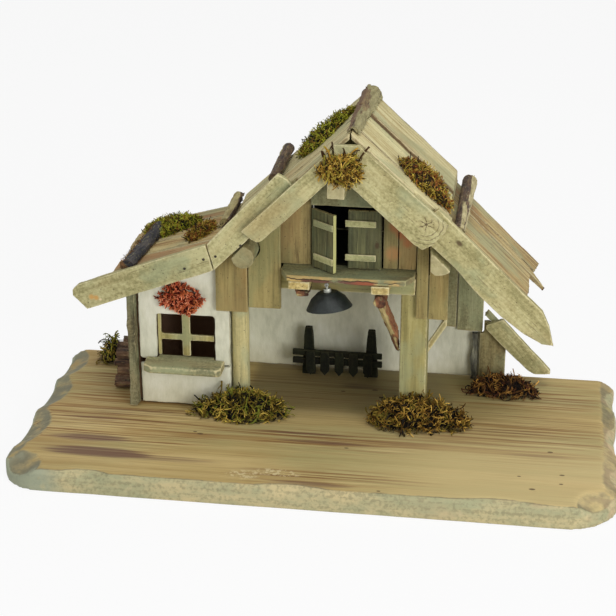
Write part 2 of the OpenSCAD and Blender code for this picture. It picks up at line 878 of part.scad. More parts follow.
module bargeboard_right_upper() {
    corner_x = apex_x + barge_flat_w;
    corner = [corner_x, right_top(corner_x) - fit - plank_t / 3];
    inner_z = corner[1] + barge_flat_w * tan(barge_right_pitch) - plumb(barge_right_w, barge_right_pitch);
    color("darkkhaki")
        upright(concat([[apex_x, inner_z], [apex_x, corner[1]], corner],
            [for (s = barge_right_end_shares)
                fall_right(corner, barge_right_pitch, s[0] * barge_right_len, s[1] * barge_right_w)]),
            barge_front_y, barge_y - fit);
}

barge_low_w = 27.5;
barge_low_len = 150;
barge_low_rise = 11.5;
barge_low_tip_shares = [[0.813, 0], [0.9, 0.18], [1, 0.53], [0.95, 0.76], [0.833, 0.93], [0.68, 1.03],
    [0.52, 1.04], [0.3, 0.96]];

module bargeboard_right_lower() {
    corner = [course_x, low_top(course_x) + barge_low_rise];
    color("darkkhaki")
        upright(concat([corner], [for (s = barge_low_tip_shares)
            fall_right(corner, low_pitch, s[0] * barge_low_len, s[1] * barge_low_w)],
            [fall_right(corner, low_pitch, 0, barge_low_w)]), barge_y, barge_back_y);
}

// Roof planks

plank_gap = 0.6;
roof_front_y = barge_back_y + fit;
roof_depth = roof_back_y - roof_front_y;

// One plank with its upper face from x0 to x1 on a line of the given top heights, thickened by extra
module plank(x0, z0, x1, z1, fall, y0, y1, extra = 0) {
    upright([[x0, z0 + extra], [x1, z1 + extra], [x1, z1 - fall], [x0, z0 - fall]], y0, y1);
}

// Places of the planks: front and back as shares of the depth, and how far the low end moves
left_plank_shares = [[0, 0.22, 0], [0.22, 0.5, -2], [0.5, 0.74, 1.5], [0.74, 1, -1]];

module roof_planks_left() {
    fall = plumb(plank_t, left_pitch);
    notch_x = barge_joint_x + (barge_middle_len + 2 * fit) * cos(barge_middle_pitch)
        + barge_middle_w * sin(barge_middle_pitch);
    color("wheat") {
        for (s = left_plank_shares) {
            x0 = left_end_x + plank_t * 0.2 * s[2];
            plank(x0, left_top(x0), ridge_x - fit / 2, left_top(ridge_x - fit / 2), fall,
                roof_front_y + s[0] * roof_depth + (s[0] > 0 ? plank_gap : 0),
                roof_front_y + s[1] * roof_depth);
        }
        // The strip of the front plank that reaches past the middle bargeboard
        plank(notch_x, left_top(notch_x), ridge_x - fit / 2, left_top(ridge_x - fit / 2), fall,
            barge_y, roof_front_y);
    }
}

course_lap = 9;
right_plank_shares = [[0, 0.13, 2, 0], [0.13, 0.55, -1, 0], [0.55, 1, -0.5, 0.6]];

module roof_planks_right_upper() {
    fall = plumb(plank_t, right_pitch);
    end_x = course_x + course_lap;
    notch_x = course_x - barge_low_w * sin(low_pitch) - fit;
    color("wheat") {
        for (s = right_plank_shares) {
            x1 = end_x + plank_t * 0.2 * s[2];
            plank(ridge_x + fit / 2, right_top(ridge_x + fit / 2), x1, right_top(x1), fall,
                roof_front_y + s[0] * roof_depth + (s[0] > 0 ? plank_gap : 0),
                roof_front_y + s[1] * roof_depth, s[3] * plank_t);
        }
        // The strip of the front plank that reaches past the lower bargeboard
        plank(ridge_x + fit / 2, right_top(ridge_x + fit / 2), notch_x, right_top(notch_x), fall,
            barge_y, roof_front_y);
    }
}

// Front, back, low end at the front and low end at the back, as shares of depth and length
low_len = 90;
low_plank_shares = [[0, 0.2, 0.98, 0.96], [0.2, 0.64, 0.84, 0.85], [0.64, 0.76, 1, 0.84],
    [0.76, 1, 0.89, 0.93]];

module roof_planks_right_lower() {
    color("wheat")
        translate([course_x, 0, low_top(course_x)])
            rotate([0, low_pitch, 0])
                for (s = low_plank_shares) {
                    y0 = roof_front_y + s[0] * roof_depth + (s[0] > 0 ? plank_gap : 0);
                    y1 = roof_front_y + s[1] * roof_depth;
                    run = low_len / cos(low_pitch);
                    head = plank_t * tan(low_pitch);
                    translate([0, 0, -plank_t])
                        linear_extrude(plank_t)
                            polygon([[head, y0], [s[2] * run, y0], [s[3] * run, y1], [head, y1]]);
                }
}

annex_plank_shares = [[0, 0.26, 0], [0.26, 0.5, 0.6], [0.5, 0.79, 0.2], [0.79, 1, 0.4]];

module roof_planks_annex() {
    fall = plumb(plank_t, annex_pitch);
    color("wheat")
        for (s = annex_plank_shares) {
            x0 = eave_x + plank_t * s[2];
            plank(x0, annex_top(x0), annex_top_end_x - fit, annex_top(annex_top_end_x - fit), fall,
                roof_front_y + s[0] * roof_depth + (s[0] > 0 ? plank_gap : 0),
                roof_front_y + s[1] * roof_depth);
        }
}

// The space under the roof's upper faces, which planes a seat into each pole on the roof
module under_roof(lift = 0) {
    far = base_w;
    upright([[ridge_x, ridge_z + lift], [ridge_x + far, right_top(ridge_x + far) + lift],
        [ridge_x, right_top(ridge_x + far)]], -base_d, base_d);
    upright([[ridge_x, ridge_z + lift], [ridge_x - far, left_top(ridge_x - far) + lift],
        [ridge_x, left_top(ridge_x - far)]], -base_d, base_d);
}

// A tapered pole along Y, from its thin front end to its thick back end
module pole(x0, z0, r0, y0, x1, z1, r1, y1, sides = 32) {
    run = y1 - y0;
    turn = atan2(x1 - x0, run);
    lift = atan2(z1 - z0, run);
    length = norm([x1 - x0, run, z1 - z0]);
    translate([x0, y0, z0])
        rotate([lift, 0, 0])
            rotate([-90, 0, -turn])
                cylinder(r1 = r0, r2 = r1, h = length, $fn = sides);
}

pole_overhang = 1.5;
pole_back_y = roof_back_y + pole_overhang;
pole_front_y = barge_back_y + fit;
ridge_pole_r = 9.2;
ridge_pole_drop = 5.8;

module ridge_pole() {
    thin = 0.55 * ridge_pole_r;
    thick_plank = right_plank_shares[len(right_plank_shares) - 1];
    lift = thick_plank[3] * plank_t + fit;
    color("peru")
        difference() {
            pole(ridge_x + 0.3 * thin, ridge_z - 0.4 * thin, thin, pole_front_y,
                ridge_x + 0.4 * ridge_pole_r, ridge_z - ridge_pole_drop, ridge_pole_r, pole_back_y);
            under_roof(fit);
            // The room for the thick plank at the back
            upright([[ridge_x, ridge_z + lift], [course_x, right_top(course_x) + lift],
                [ridge_x, right_top(course_x)]], roof_front_y + thick_plank[0] * roof_depth, base_d);
        }
}

right_pole_r = 7.5;
right_pole_run = 14;

module right_pole() {
    x = course_x + right_pole_run;
    back = fall_right([x, low_top(x)], low_pitch, 0, -right_pole_r * 0.95);
    front = fall_right([x, low_top(x)], low_pitch, 0, -right_pole_r * 0.6);
    end_x = course_x + course_lap + 2 * fit;
    color("peru")
        difference() {
            pole(front[0], front[1], right_pole_r * 0.75, pole_front_y,
                back[0], back[1], right_pole_r, pole_back_y);
            // The seat on the lower course
            upright([[course_x - plank_t, low_top(course_x - plank_t) + fit],
                [course_x + low_len, low_top(course_x + low_len) + fit],
                [course_x, low_top(course_x + low_len)]], -base_d, base_d);
            // The room for the ends of the upper course
            upright([[end_x, right_top(end_x) + fit], [end_x, right_under(end_x) - plank_t],
                [course_x, right_under(end_x)], [course_x - plank_t, right_top(course_x - plank_t) + fit]],
                -base_d, base_d);
        }
}

valley_pole_r = 6.8;
valley_pole_run = 7;

module valley_pole() {
    x = left_end_x - valley_pole_run;
    end_x = left_end_x - plank_t * 0.6;
    z = annex_top(x) + 0.6 * valley_pole_r;
    color("darkkhaki")
        difference() {
            pole(x, z, valley_pole_r * 0.85, 0.4 * roof_back_y, x, z, valley_pole_r, pole_back_y);
            upright([[eave_x, annex_top(eave_x) + fit], [annex_top_end_x, annex_top(annex_top_end_x) + fit],
                [annex_top_end_x, floor_z], [eave_x, floor_z]], -base_d, base_d);
            // The room for the ends of the upper planks
            upright([[end_x, floor_z], [end_x, left_top(end_x) + 2 * fit], [ridge_x, ridge_z + 2 * fit],
                [ridge_x, floor_z]], -base_d, base_d);
        }
}

eave_pole_r = 7.5;
eave_pole_run = 14;
eave_pole_skew = 9;
eave_pole_back_share = 0.72;

// The log along the eave, with grow added to its radius
module eave_log(grow = 0) {
    x0 = eave_x + eave_pole_run;
    x1 = x0 + eave_pole_skew;
    pole(x0, annex_top(x0) + 0.3 * eave_pole_r, eave_pole_r * 0.9 + grow, pole_front_y,
        x1, annex_top(x1) + 0.3 * eave_pole_r, eave_pole_r + grow, eave_pole_back_share * roof_back_y);
}

module eave_pole() {
    color("saddlebrown")
        difference() {
            eave_log();
            upright([[eave_x - base_d, annex_top(eave_x - base_d) + fit],
                [annex_top_end_x, annex_top(annex_top_end_x) + fit], [annex_top_end_x, floor_z],
                [eave_x - base_d, floor_z - base_d]], -base_d, base_d);
        }
}

slope_pole_r = 6.5;
slope_pole_run = 41;

module left_slope_pole() {
    x = left_end_x + slope_pole_run;
    seat = fall_left([x, left_top(x)], left_pitch, 0, -slope_pole_r * 0.76);
    color("saddlebrown")
        difference() {
            pole(seat[0], seat[1], slope_pole_r * 0.85, roof_front_y + 0.32 * roof_depth,
                seat[0], seat[1], slope_pole_r, pole_back_y);
            under_roof(fit);
        }
}

// Lean-to

lean_left_x = wall_right_x + 2 * fit;
lean_back_y = rear_y + rear_wall_t;
lean_board_t = 6.5;
lean_board_w = 18;
lean_foot_share = 0.64;
// Outline of the front board, along its fall and across its width from the corner of the planks
lean_board_shares = [[0.12, 0.45], [0.2, -0.42], [0.97, -0.28], [1, -0.14], [0.885, 0.5], [0.79, 0.6],
    [0.165, lean_foot_share]];
lean_len_shares = [0.9, 0.97];
lean_run = 60;
lean_post_w = 21;
lean_post_t = 5;

function lean_top(x) = floor_z + lean_h - (x - lean_left_x) * tan(lean_pitch);
function lean_under(x) = lean_top(x) - plumb(lean_plank_t, lean_pitch);
// The line under both the planks and the front board
function lean_foot(x) = lean_top(x) - plumb(lean_board_w, lean_pitch) * lean_foot_share;

module lean_to_planks() {
    y0 = rear_y - lean_post_t;
    run = lean_run / cos(lean_pitch);
    corner = [lean_left_x, lean_top(lean_left_x)];
    color("darkkhaki") {
        translate([corner[0], 0, corner[1]])
            rotate([0, lean_pitch, 0])
                translate([0, 0, -lean_plank_t])
                    linear_extrude(lean_plank_t)
                        polygon([[lean_plank_t, y0], [lean_len_shares[0] * run, y0],
                            [lean_len_shares[1] * run, lean_back_y], [lean_plank_t, lean_back_y]]);
        upright([for (s = lean_board_shares)
            fall_right(corner, lean_pitch, s[0] * run, s[1] * lean_board_w)],
            y0 - fit - lean_board_t, y0 - fit);
    }
}

module lean_to_post() {
    x0 = lean_left_x;
    x1 = x0 + lean_post_w;
    lap_x = wall_right_x - post_lap;
    lap_z = floor_z + cladding_foot_h - fit;
    shoulder = x0 + lean_plank_t;
    color("darkkhaki")
        upright([[lap_x, floor_z], [x1, floor_z], [x1, lean_under(x1) - fit],
            [shoulder, lean_under(shoulder) - fit], [x0, lean_under(shoulder) - fit],
            [x0, lap_z], [lap_x, lap_z]],
            rear_y - lean_post_t, rear_y);
}

// Hay rack

rack_x = 3;
rack_set = 15;
rack_y = rear_y - rack_set;
rack_end_t = 5;
rack_end_w = 13;
rack_end_space = 57;
rack_end_shift = 2;
rack_end_shares = [[0.5, 0], [0.34, 0.8], [0.27, 1], [-0.27, 1], [-0.36, 0.8], [-0.5, 0]];
rack_rail_h = 6;
rack_rail_t = 4;
rack_top_rail_h = 20;
rack_low_rail_h = 12;
rack_picket_t = 2.5;
rack_picket_w = 9;
rack_picket_gap = 4;
rack_picket_foot_h = 2;

module hay_rack_ends() {
    color("darkslategray")
        for (side = [-1, 1])
            let (x = rack_x + rack_end_shift + side * rack_end_space / 2)
                upright([for (s = rack_end_shares) [x + s[0] * rack_end_w, floor_z + s[1] * rack_h]],
                    rack_y, rack_y + rack_end_t);
}

module hay_rack_rails() {
    color("darkslategray")
        for (h = [rack_low_rail_h, rack_top_rail_h])
            block([rack_x - rack_w / 2, rack_y - rack_rail_t - fit, floor_z + h],
                [rack_x + rack_w / 2, rack_y - fit, floor_z + h + rack_rail_h]);
}

module hay_rack_pickets() {
    pitch = rack_picket_w + rack_picket_gap;
    y1 = rack_y - rack_rail_t - 2 * fit;
    foot_z = floor_z + rack_picket_foot_h;
    top_z = floor_z + rack_top_rail_h + rack_rail_h;
    half = rack_picket_w / 2;
    color("darkslategray")
        for (i = [0 : rack_pickets - 1])
            let (x = rack_x + rack_end_shift + (i - (rack_pickets - 1) / 2) * pitch)
                upright([[x, foot_z], [x + half, foot_z + 1.2 * half], [x + half, top_z - half],
                    [x + 0.8 * half, top_z], [x - 0.8 * half, top_z], [x - half, top_z - half],
                    [x - half, foot_z + 1.2 * half]], y1 - rack_picket_t, y1);
}

// Log pile beside the annex

log_len = 24;
log_rows = 3;
log_radii = [6.6, 4.4, 3.8, 5.4];
log_y = 42;
log_flat = 0.2;
log_row_pitch = 2 * max(log_radii) + fit;

// Height of the top of a log above the board, with flats where the logs lie on each other
function log_top(i) = i < 0 ? 0 : log_top(i - 1) + 2 * (log_radii[i] - log_flat);

module log_pile() {
    x1 = annex_left_x - plaster_t - fit;
    color("saddlebrown")
        for (row = [0 : log_rows - 1], i = [0 : len(log_radii) - 1])
            let (r = log_radii[i], length = log_len - ((i + row) % 2) * log_flat * 8)
                translate([x1 - length, log_y + row * log_row_pitch, floor_z + log_top(i - 1) + r - log_flat])
                    rotate([0, 90, 0])
                        difference() {
                            cylinder(r = r, h = length, $fn = 24);
                            for (side = [-1, 1])
                                translate([side * r, 0, 0])
                                    cube([2 * log_flat, 2 * r, 3 * log_len], center = true);
                        }
}

// Lamp: the pivot is the level pin of the hook

lamp_x = 5;
lamp_reach = 14;
lamp_y = front_y - lamp_reach;
lamp_pin_drop = 4;
lamp_pin_z = balcony_under_z - lamp_pin_drop;
lamp_pin_r = 0.6;
lamp_leg_space = 5;
lamp_eye_r = 1.7;
lamp_eye_t = 2;
lamp_stem_r = 0.9;
lamp_drop = 6;
socket_r = 3.2;
socket_h = 3;

module at_lamp() {
    translate([lamp_x, lamp_y, lamp_pin_z])
        rotate([0, -lamp_tilt, 0])
            children();
}

module lamp_shade() {
    r0 = shade_top_d / 2;
    r1 = shade_d / 2;
    z0 = -lamp_drop;
    z1 = z0 - shade_h;
    bend_r = r0 + (r1 - r0) * 0.55;
    bend_z = z0 - shade_h * 0.38;
    color("darkslategray")
        at_lamp()
            rotate([-lamp_nod, 0, 0])
                rotate_extrude($fn = 64)
                    polygon([[0, z0], [r0, z0], [bend_r, bend_z], [r1, z1], [r1 - shade_t, z1],
                        [bend_r - 0.8 * shade_t, bend_z - shade_t], [r0 - 0.4 * shade_t, z0 - shade_t],
                        [0, z0 - shade_t]]);
}

module lamp_socket() {
    color("gainsboro")
        at_lamp()
            difference() {
                union() {
                    rotate([-lamp_nod, 0, 0])
                        translate([0, 0, -lamp_drop]) {
                            cylinder(r = socket_r, h = socket_h);
                            cylinder(r = lamp_stem_r, h = lamp_drop - lamp_eye_r / 2);
                        }
                    rotate([90, 0, 0])
                        cylinder(r = lamp_eye_r, h = lamp_eye_t, center = true);
                }
                rotate([90, 0, 0])
                    cylinder(r = lamp_pin_r + pin_fit, h = lamp_leg_space, center = true);
            }
}

module lamp_hook() {
    leg_r = lamp_pin_r;
    half = lamp_leg_space / 2;
    color("silver")
        translate([lamp_x, lamp_y, 0])
            union() {
                translate([0, half + leg_r, lamp_pin_z])
                    rotate([90, 0, 0])
                        cylinder(r = lamp_pin_r, h = lamp_leg_space + 2 * leg_r, $fn = 24);
                for (side = [-1, 1])
                    translate([0, side * half, lamp_pin_z])
                        cylinder(r = leg_r, h = balcony_under_z - lamp_pin_z, $fn = 24);
            }
}

// Moss and lichen: lumpy mounds, drawn with a flat back on the XY plane

mound_sides = 14;
mound_ring_shares = [[1, 0], [0.93, 0.3], [0.74, 0.68], [0.42, 0.93]];

module mound(w, d, h, lobes, phase) {
    rings = len(mound_ring_shares);
    n = mound_sides;
    points = concat([for (s = mound_ring_shares, i = [0 : n - 1])
        let (a = 360 * i / n, wave = 1 + 0.13 * sin(lobes * a + phase) + 0.06 * sin(3 * lobes * a))
            [w / 2 * s[0] * wave * cos(a), d / 2 * s[0] * wave * sin(a),
                h * s[1] * (1 + 0.12 * cos(lobes * a + phase))]], [[0, 0, h], [0, 0, 0]]);
    top = rings * n;
    faces = concat(
        [for (k = [0 : rings - 2], i = [0 : n - 1]) [k * n + i, (k + 1) * n + i, (k + 1) * n + (i + 1) % n]],
        [for (k = [0 : rings - 2], i = [0 : n - 1])
            [k * n + i, (k + 1) * n + (i + 1) % n, k * n + (i + 1) % n]],
        [for (i = [0 : n - 1]) [(rings - 1) * n + i, top, (rings - 1) * n + (i + 1) % n]],
        [for (i = [0 : n - 1]) [i, (i + 1) % n, top + 1]]);
    polyhedron(points = points, faces = faces);
}

// Largest width, depth and height of a clump on the board
clump_w = 88;
clump_d = 40;
clump_h = 22;
// Place on the board, width, depth and height as shares, then lobes and phase
ground_clump_shares = [[-0.131, 0.01, 0.82, 0.76, 1.05, 3, 40], [-0.188, 0.01, 0.41, 0.4, 0.55, 2, 10],
    [0.16, 0.035, 1, 1, 1, 3, 90], [0.304, 0.335, 0.68, 0.72, 0.66, 3, 200],
    [-0.406, 0.4, 0.25, 0.65, 1.05, 2, 120]];

module ground_moss() {
    color("olivedrab")
        difference() {
            for (s = ground_clump_shares)
                translate([s[0] * base_w, s[1] * base_d, floor_z])
                    mound(s[2] * clump_w, s[3] * clump_d, s[4] * clump_h, s[5], s[6]);
            block([post_x - fit, post_y - fit, 0], [post_x + post_w + fit, post_y + post_w + fit, ridge_z]);
            block([annex_left_x - corner_w - fit, front_y - fit, 0], [annex_right_x + fit, rear_y, ridge_z]);
            translate([annex_post_x, annex_post_y, 0])
                cylinder(r = annex_post_r + fit, h = ridge_z);
            block([course_x, rear_y - plaster_t - fit, 0],
                [lean_left_x + lean_post_w + fit, base_d, ridge_z]);
            // The planks of the lean-to lie over the clump beside them
            upright([[lean_left_x, lean_foot(lean_left_x) - fit], [base_w, lean_foot(base_w) - fit],
                [base_w, ridge_z], [lean_left_x, ridge_z]], -base_d, base_d);
        }
}

// Largest length, width and height of a clump on the roof or the wall
tuft_len = 66;
tuft_w = 50;
tuft_h = 9;
// Run from the upper end of the slope, depth, length, width and height as shares, then lobes and phase
left_tuft_shares = [[0.28, 0.6, 1, 0.86, 0.8, 3, 30]];
annex_tuft_shares = [[0.66, 0.74, 0.79, 0.84, 0.85, 3, 70], [0.3, 0.47, 0.36, 0.78, 0.6, 2, 0]];
right_tuft_shares = [[0.8, 0.26, 0.86, 0.84, 1, 3, 160]];
apex_tuft_shares = [0.5, 3.3, 0.56, 0.52, 0.6, 3, 250];
wall_tuft_shares = [0.44, 0.43, 0.6, 0.54, 0.66, 4, 20];

// A clump whose size is the third to fifth share of the largest clump's
module tuft(s) {
    mound(s[2] * tuft_len, s[3] * tuft_w, s[4] * tuft_h, s[5], s[6]);
}

module roof_moss() {
    color("olivedrab") {
        for (s = left_tuft_shares)
            let (x = ridge_x - s[0] * left_run)
                translate([x, roof_front_y + s[1] * roof_depth, left_top(x) + fit])
                    rotate([0, -left_pitch, 0])
                        tuft(s);
        difference() {
            for (s = annex_tuft_shares)
                let (x = left_end_x - s[0] * annex_run)
                    translate([x, roof_front_y + s[1] * roof_depth, annex_top(x) + fit])
                        rotate([0, -annex_pitch, 0])
                            tuft(s);
            eave_log(fit);
        }
        for (s = right_tuft_shares)
            let (x = ridge_x + s[0] * right_run)
                translate([x, roof_front_y + s[1] * roof_depth, right_top(x) + fit])
                    rotate([0, right_pitch, 0])
                        tuft(s);
        translate([ridge_x - apex_tuft_shares[0] * apex_run, barge_front_y - fit,
            ridge_z - apex_tuft_shares[1] * tuft_h])
            rotate([90, 0, 0])
                tuft(apex_tuft_shares);
    }
}

module wall_lichen() {
    color("firebrick")
        difference() {
            translate([window_x + wall_tuft_shares[0] * window_w, front_y - fit,
                floor_z + window_sill_h + window_h * (1 + wall_tuft_shares[1])])
                rotate([90, 0, 0])
                    tuft(wall_tuft_shares);
            // The clump ends under the planks of the annex roof
            upright([[annex_left_x, annex_under(annex_left_x) - fit],
                [annex_right_x, annex_under(annex_right_x) - fit],
                [annex_right_x, ridge_z], [annex_left_x, ridge_z]], -base_d, base_d);
        }
}

base_board();
rear_wall();
rear_cladding();
rear_corner_strip();
annex_upper_wall();
annex_lower_wall();
annex_side_wall();
annex_partition();
window_cross();
window_sill();
left_corner_post();
annex_post();
centre_post();
lintel();
joist_ends();
left_joist_log();
balcony_board();
loft_floor();
bark_brace();
square_brace();
hanging_boards_left();
hanging_boards_right();
gable_board_left();
gable_boards_right();
head_boards();
left_shutter_boards();
left_shutter_battens();
right_shutter_boards();
right_shutter_battens();
left_hinge_pin();
right_hinge_pin();
ridge_beam();
left_beam();
right_beam();
bargeboard_annex();
bargeboard_left_middle();
bargeboard_left_upper();
bargeboard_right_upper();
bargeboard_right_lower();
roof_planks_left();
roof_planks_annex();
roof_planks_right_upper();
roof_planks_right_lower();
ridge_pole();
right_pole();
valley_pole();
eave_pole();
left_slope_pole();
lean_to_post();
lean_to_planks();
hay_rack_ends();
hay_rack_rails();
hay_rack_pickets();
log_pile();
lamp_shade();
lamp_socket();
lamp_hook();
ground_moss();
roof_moss();
wall_lichen();
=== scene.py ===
import json
import math
import bpy
import numpy as np
from mathutils import Matrix, Vector


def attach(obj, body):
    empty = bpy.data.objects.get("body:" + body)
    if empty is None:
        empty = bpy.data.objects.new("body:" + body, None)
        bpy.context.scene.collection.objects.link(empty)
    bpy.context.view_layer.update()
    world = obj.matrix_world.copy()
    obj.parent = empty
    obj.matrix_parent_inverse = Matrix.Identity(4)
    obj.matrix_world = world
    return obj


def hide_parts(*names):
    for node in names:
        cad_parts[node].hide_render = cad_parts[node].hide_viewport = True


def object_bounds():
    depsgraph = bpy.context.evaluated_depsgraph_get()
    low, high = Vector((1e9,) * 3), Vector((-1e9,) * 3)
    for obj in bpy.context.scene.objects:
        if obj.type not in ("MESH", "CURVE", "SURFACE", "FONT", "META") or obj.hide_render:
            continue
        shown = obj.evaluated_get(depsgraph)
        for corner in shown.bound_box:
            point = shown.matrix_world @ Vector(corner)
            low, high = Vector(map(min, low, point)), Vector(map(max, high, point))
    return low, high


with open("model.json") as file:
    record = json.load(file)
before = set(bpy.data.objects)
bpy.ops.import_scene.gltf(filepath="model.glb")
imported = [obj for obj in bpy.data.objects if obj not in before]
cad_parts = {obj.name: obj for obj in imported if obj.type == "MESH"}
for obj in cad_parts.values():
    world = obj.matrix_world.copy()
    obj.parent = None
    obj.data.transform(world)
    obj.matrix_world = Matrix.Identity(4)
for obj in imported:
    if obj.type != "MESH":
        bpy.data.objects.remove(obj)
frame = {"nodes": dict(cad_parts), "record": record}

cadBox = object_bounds()
bodyOf = {node: body for body, nodes in frame["record"]["behaviour"]["bodies"].items() for node in nodes}
mm = 0.001
rng = np.random.default_rng(638)
print("frame loaded,", len(frame["nodes"]), "nodes")

# Camera, at the photograph's angle
view = {"lens": 97.54, "sensor": 36, "place": (0.1733, -1.2680, 0.6792), "down": 23.36, "turn": 8.26}
bpy.ops.object.camera_add(location=view["place"],
                          rotation=(math.radians(90 - view["down"]), 0, math.radians(view["turn"])))
camera = bpy.context.object
camera.data.lens = view["lens"]
camera.data.sensor_width = view["sensor"]
camera.data.clip_start = 0.05
bpy.context.scene.camera = camera
print("camera placed")


# Small helpers for working with operators
def pickOnly(*chosen):
    if bpy.context.object and bpy.context.object.mode != "OBJECT":
        bpy.ops.object.mode_set(mode="OBJECT")
    bpy.ops.object.select_all(action="DESELECT")
    for ob in chosen:
        ob.select_set(True)
    bpy.context.view_layer.objects.active = chosen[0]


def applyModifier(ob, kind, **settings):
    modifier = ob.modifiers.new(kind.title(), kind)
    for name, value in settings.items():
        setattr(modifier, name, value)
    pickOnly(ob)
    bpy.ops.object.modifier_apply(modifier=modifier.name)


def addObject(name, mesh):
    ob = bpy.data.objects.new(name, mesh)
    bpy.context.scene.collection.objects.link(ob)
    return ob


def joinAll(parts, name):
    pickOnly(*parts)
    if len(parts) > 1:
        bpy.ops.object.join()
    ob = bpy.context.object
    ob.name = ob.data.name = name
    return ob


def dressAs(ob, material, node):
    ob.data.materials.clear()
    ob.data.materials.append(material)
    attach(ob, bodyOf[node])


def readPoints(mesh, field="co"):
    points = np.empty(len(mesh.vertices) * 3)
    mesh.vertices.foreach_get(field, points)
    return points.reshape(-1, 3)


def writeLayer(mesh, name, values):
    kind, field = ("FLOAT_VECTOR", "vector") if np.ndim(values) > 1 else ("FLOAT", "value")
    layer = mesh.attributes.get(name) or mesh.attributes.new(name, kind, "POINT")
    layer.data.foreach_set(field, np.asarray(values, np.float32).ravel())


# Materials: a wire is one output of a node, and sums on wires add Math nodes
class Wire:
    def __init__(self, finish, socket):
        self.finish = finish
        self.socket = socket

    def __add__(self, other):
        return self.finish.math("ADD", self, other)

    __radd__ = __add__

    def __sub__(self, other):
        return self.finish.math("SUBTRACT", self, other)

    def __rsub__(self, other):
        return self.finish.math("SUBTRACT", other, self)

    def __mul__(self, other):
        return self.finish.math("MULTIPLY", self, other)

    __rmul__ = __mul__

    def __abs__(self):
        return self.finish.math("ABSOLUTE", self)


# The nodes of one material, or of the world
class Finish:
    def __init__(self, name, world=False):
        self.owner = (bpy.data.worlds if world else bpy.data.materials).new(name)
        self.owner.use_nodes = True
        self.tree = self.owner.node_tree
        self.shader = self.tree.nodes["Background" if world else "Principled BSDF"]
        self.end = self.tree.nodes["World Output" if world else "Material Output"]

    # Settings go in first, then the values or wires of the sockets
    def node(self, kind, settings=None, values=None, out=0):
        made = self.tree.nodes.new(kind)
        for name, value in (settings or {}).items():
            if name == "stops":
                ramp = made.color_ramp
                while len(ramp.elements) < len(value):
                    ramp.elements.new(1)
                for stop, (place, shade) in zip(ramp.elements, value):
                    stop.position = place
                    stop.color = shade
            else:
                setattr(made, name, value)
        for name, value in (values or {}).items():
            if isinstance(value, Wire):
                self.tree.links.new(value.socket, made.inputs[name])
            else:
                made.inputs[name].default_value = value
        return Wire(self, made.outputs[out])

    def math(self, operation, *terms):
        return self.node("ShaderNodeMath", {"operation": operation}, dict(enumerate(terms)))

    def measure(self, operation, first, second):
        return self.node("ShaderNodeVectorMath", {"operation": operation}, {0: first, 1: second}, "Value")

    def attribute(self, name, out="Vector"):
        return self.node("ShaderNodeAttribute", {"attribute_name": name}, out=out)

    def here(self):
        return self.node("ShaderNodeTexCoord", out="Object")

    def axis(self, vector, index):
        return self.node("ShaderNodeSeparateXYZ", values={0: vector}, out=index)

    def stretch(self, vector, shares):
        return self.node("ShaderNodeVectorMath", {"operation": "MULTIPLY"}, {0: vector, 1: shares})

    def noise(self, vector, scale, detail=3, roughness=0.55):
        return self.node("ShaderNodeTexNoise", values={"Vector": vector, "Scale": scale, "Detail": detail,
                                                       "Roughness": roughness})

    # Noises that are drawn out along the grain, by name
    def alongGrain(self, grain, rows):
        return {name: self.noise(self.stretch(grain, (share, 1, 1)), *noise)
                for name, (share, *noise) in rows.items()}

    # From 0 at the start to 1 at the end, which may be the lower of the two
    def band(self, value, start, end):
        return self.node("ShaderNodeMapRange", {"interpolation_type": "SMOOTHSTEP"},
                         {"Value": value, "From Min": start, "From Max": end})

    def between(self, value, low, high, soft):
        return self.band(value, low, low + soft) * self.band(value, high + soft, high)

    def ramp(self, value, stops):
        return self.node("ShaderNodeValToRGB", {"stops": stops}, {"Fac": value})

    def mix(self, factor, low, high, blend="MIX"):
        return self.node("ShaderNodeMix", {"data_type": "RGBA", "blend_type": blend, "clamp_result": True},
                         {0: factor, 6: low, 7: high}, out=2)

    # Layers over a body: what each follows, its start and end there, its strength and its colour
    def cover(self, body, layers):
        for value, start, end, share, colour in layers:
            body = self.mix(self.band(value, start, end) * share, body, colour)
        return body

    # One board or log is darker than the next
    def vary(self, body, tint, spread):
        level = self.ramp(self.axis(tint, 0), [(0, grey(1 - spread)), (1, grey(1))])
        return self.mix(1.0, body, level, "MULTIPLY")

    def done(self, colour, roughness, height, depth, strength):
        self.tree.links.new(colour.socket, self.shader.inputs["Base Color"])
        if isinstance(roughness, Wire):
            self.tree.links.new(roughness.socket, self.shader.inputs["Roughness"])
        else:
            self.shader.inputs["Roughness"].default_value = roughness
        bump = self.node("ShaderNodeBump", values={"Height": height, "Distance": depth, "Strength": strength})
        self.tree.links.new(bump.socket, self.shader.inputs["Normal"])
        return self.owner

    # The camera and gloss see a plain pale background in place of the lit one
    def seenPale(self, pale, share):
        rays = [self.node("ShaderNodeLightPath", out=ray) for ray in ("Is Camera Ray", "Is Glossy Ray")]
        lit = Wire(self, self.shader.outputs[0])
        shown = {0: self.math("MAXIMUM", *rays) * share, 1: lit, 2: pale}
        seen = self.node("ShaderNodeMixShader", values=shown)
        self.tree.links.new(seen.socket, self.end.inputs["Surface"])


def paint(red, green, blue):
    # A colour as it is seen on a screen, 0 to 255, made linear
    parts = [c / 255 for c in (red, green, blue)]
    return (*[c / 12.92 if c <= 0.04045 else ((c + 0.055) / 1.055) ** 2.4 for c in parts], 1)


def grey(level):
    return (level, level, level, 1)


def frontDistance(f, here, place):
    # How far a place is, seen from the front, with its X and Z in millimetres
    return f.measure("DISTANCE", f.stretch(here, (1, 0, 1)), (place[0] * mm, 0, place[1] * mm))


def flatSpot(f, here, place, radius, soft=0.5):
    return f.band(frontDistance(f, here, place), radius * mm, radius * soft * mm)


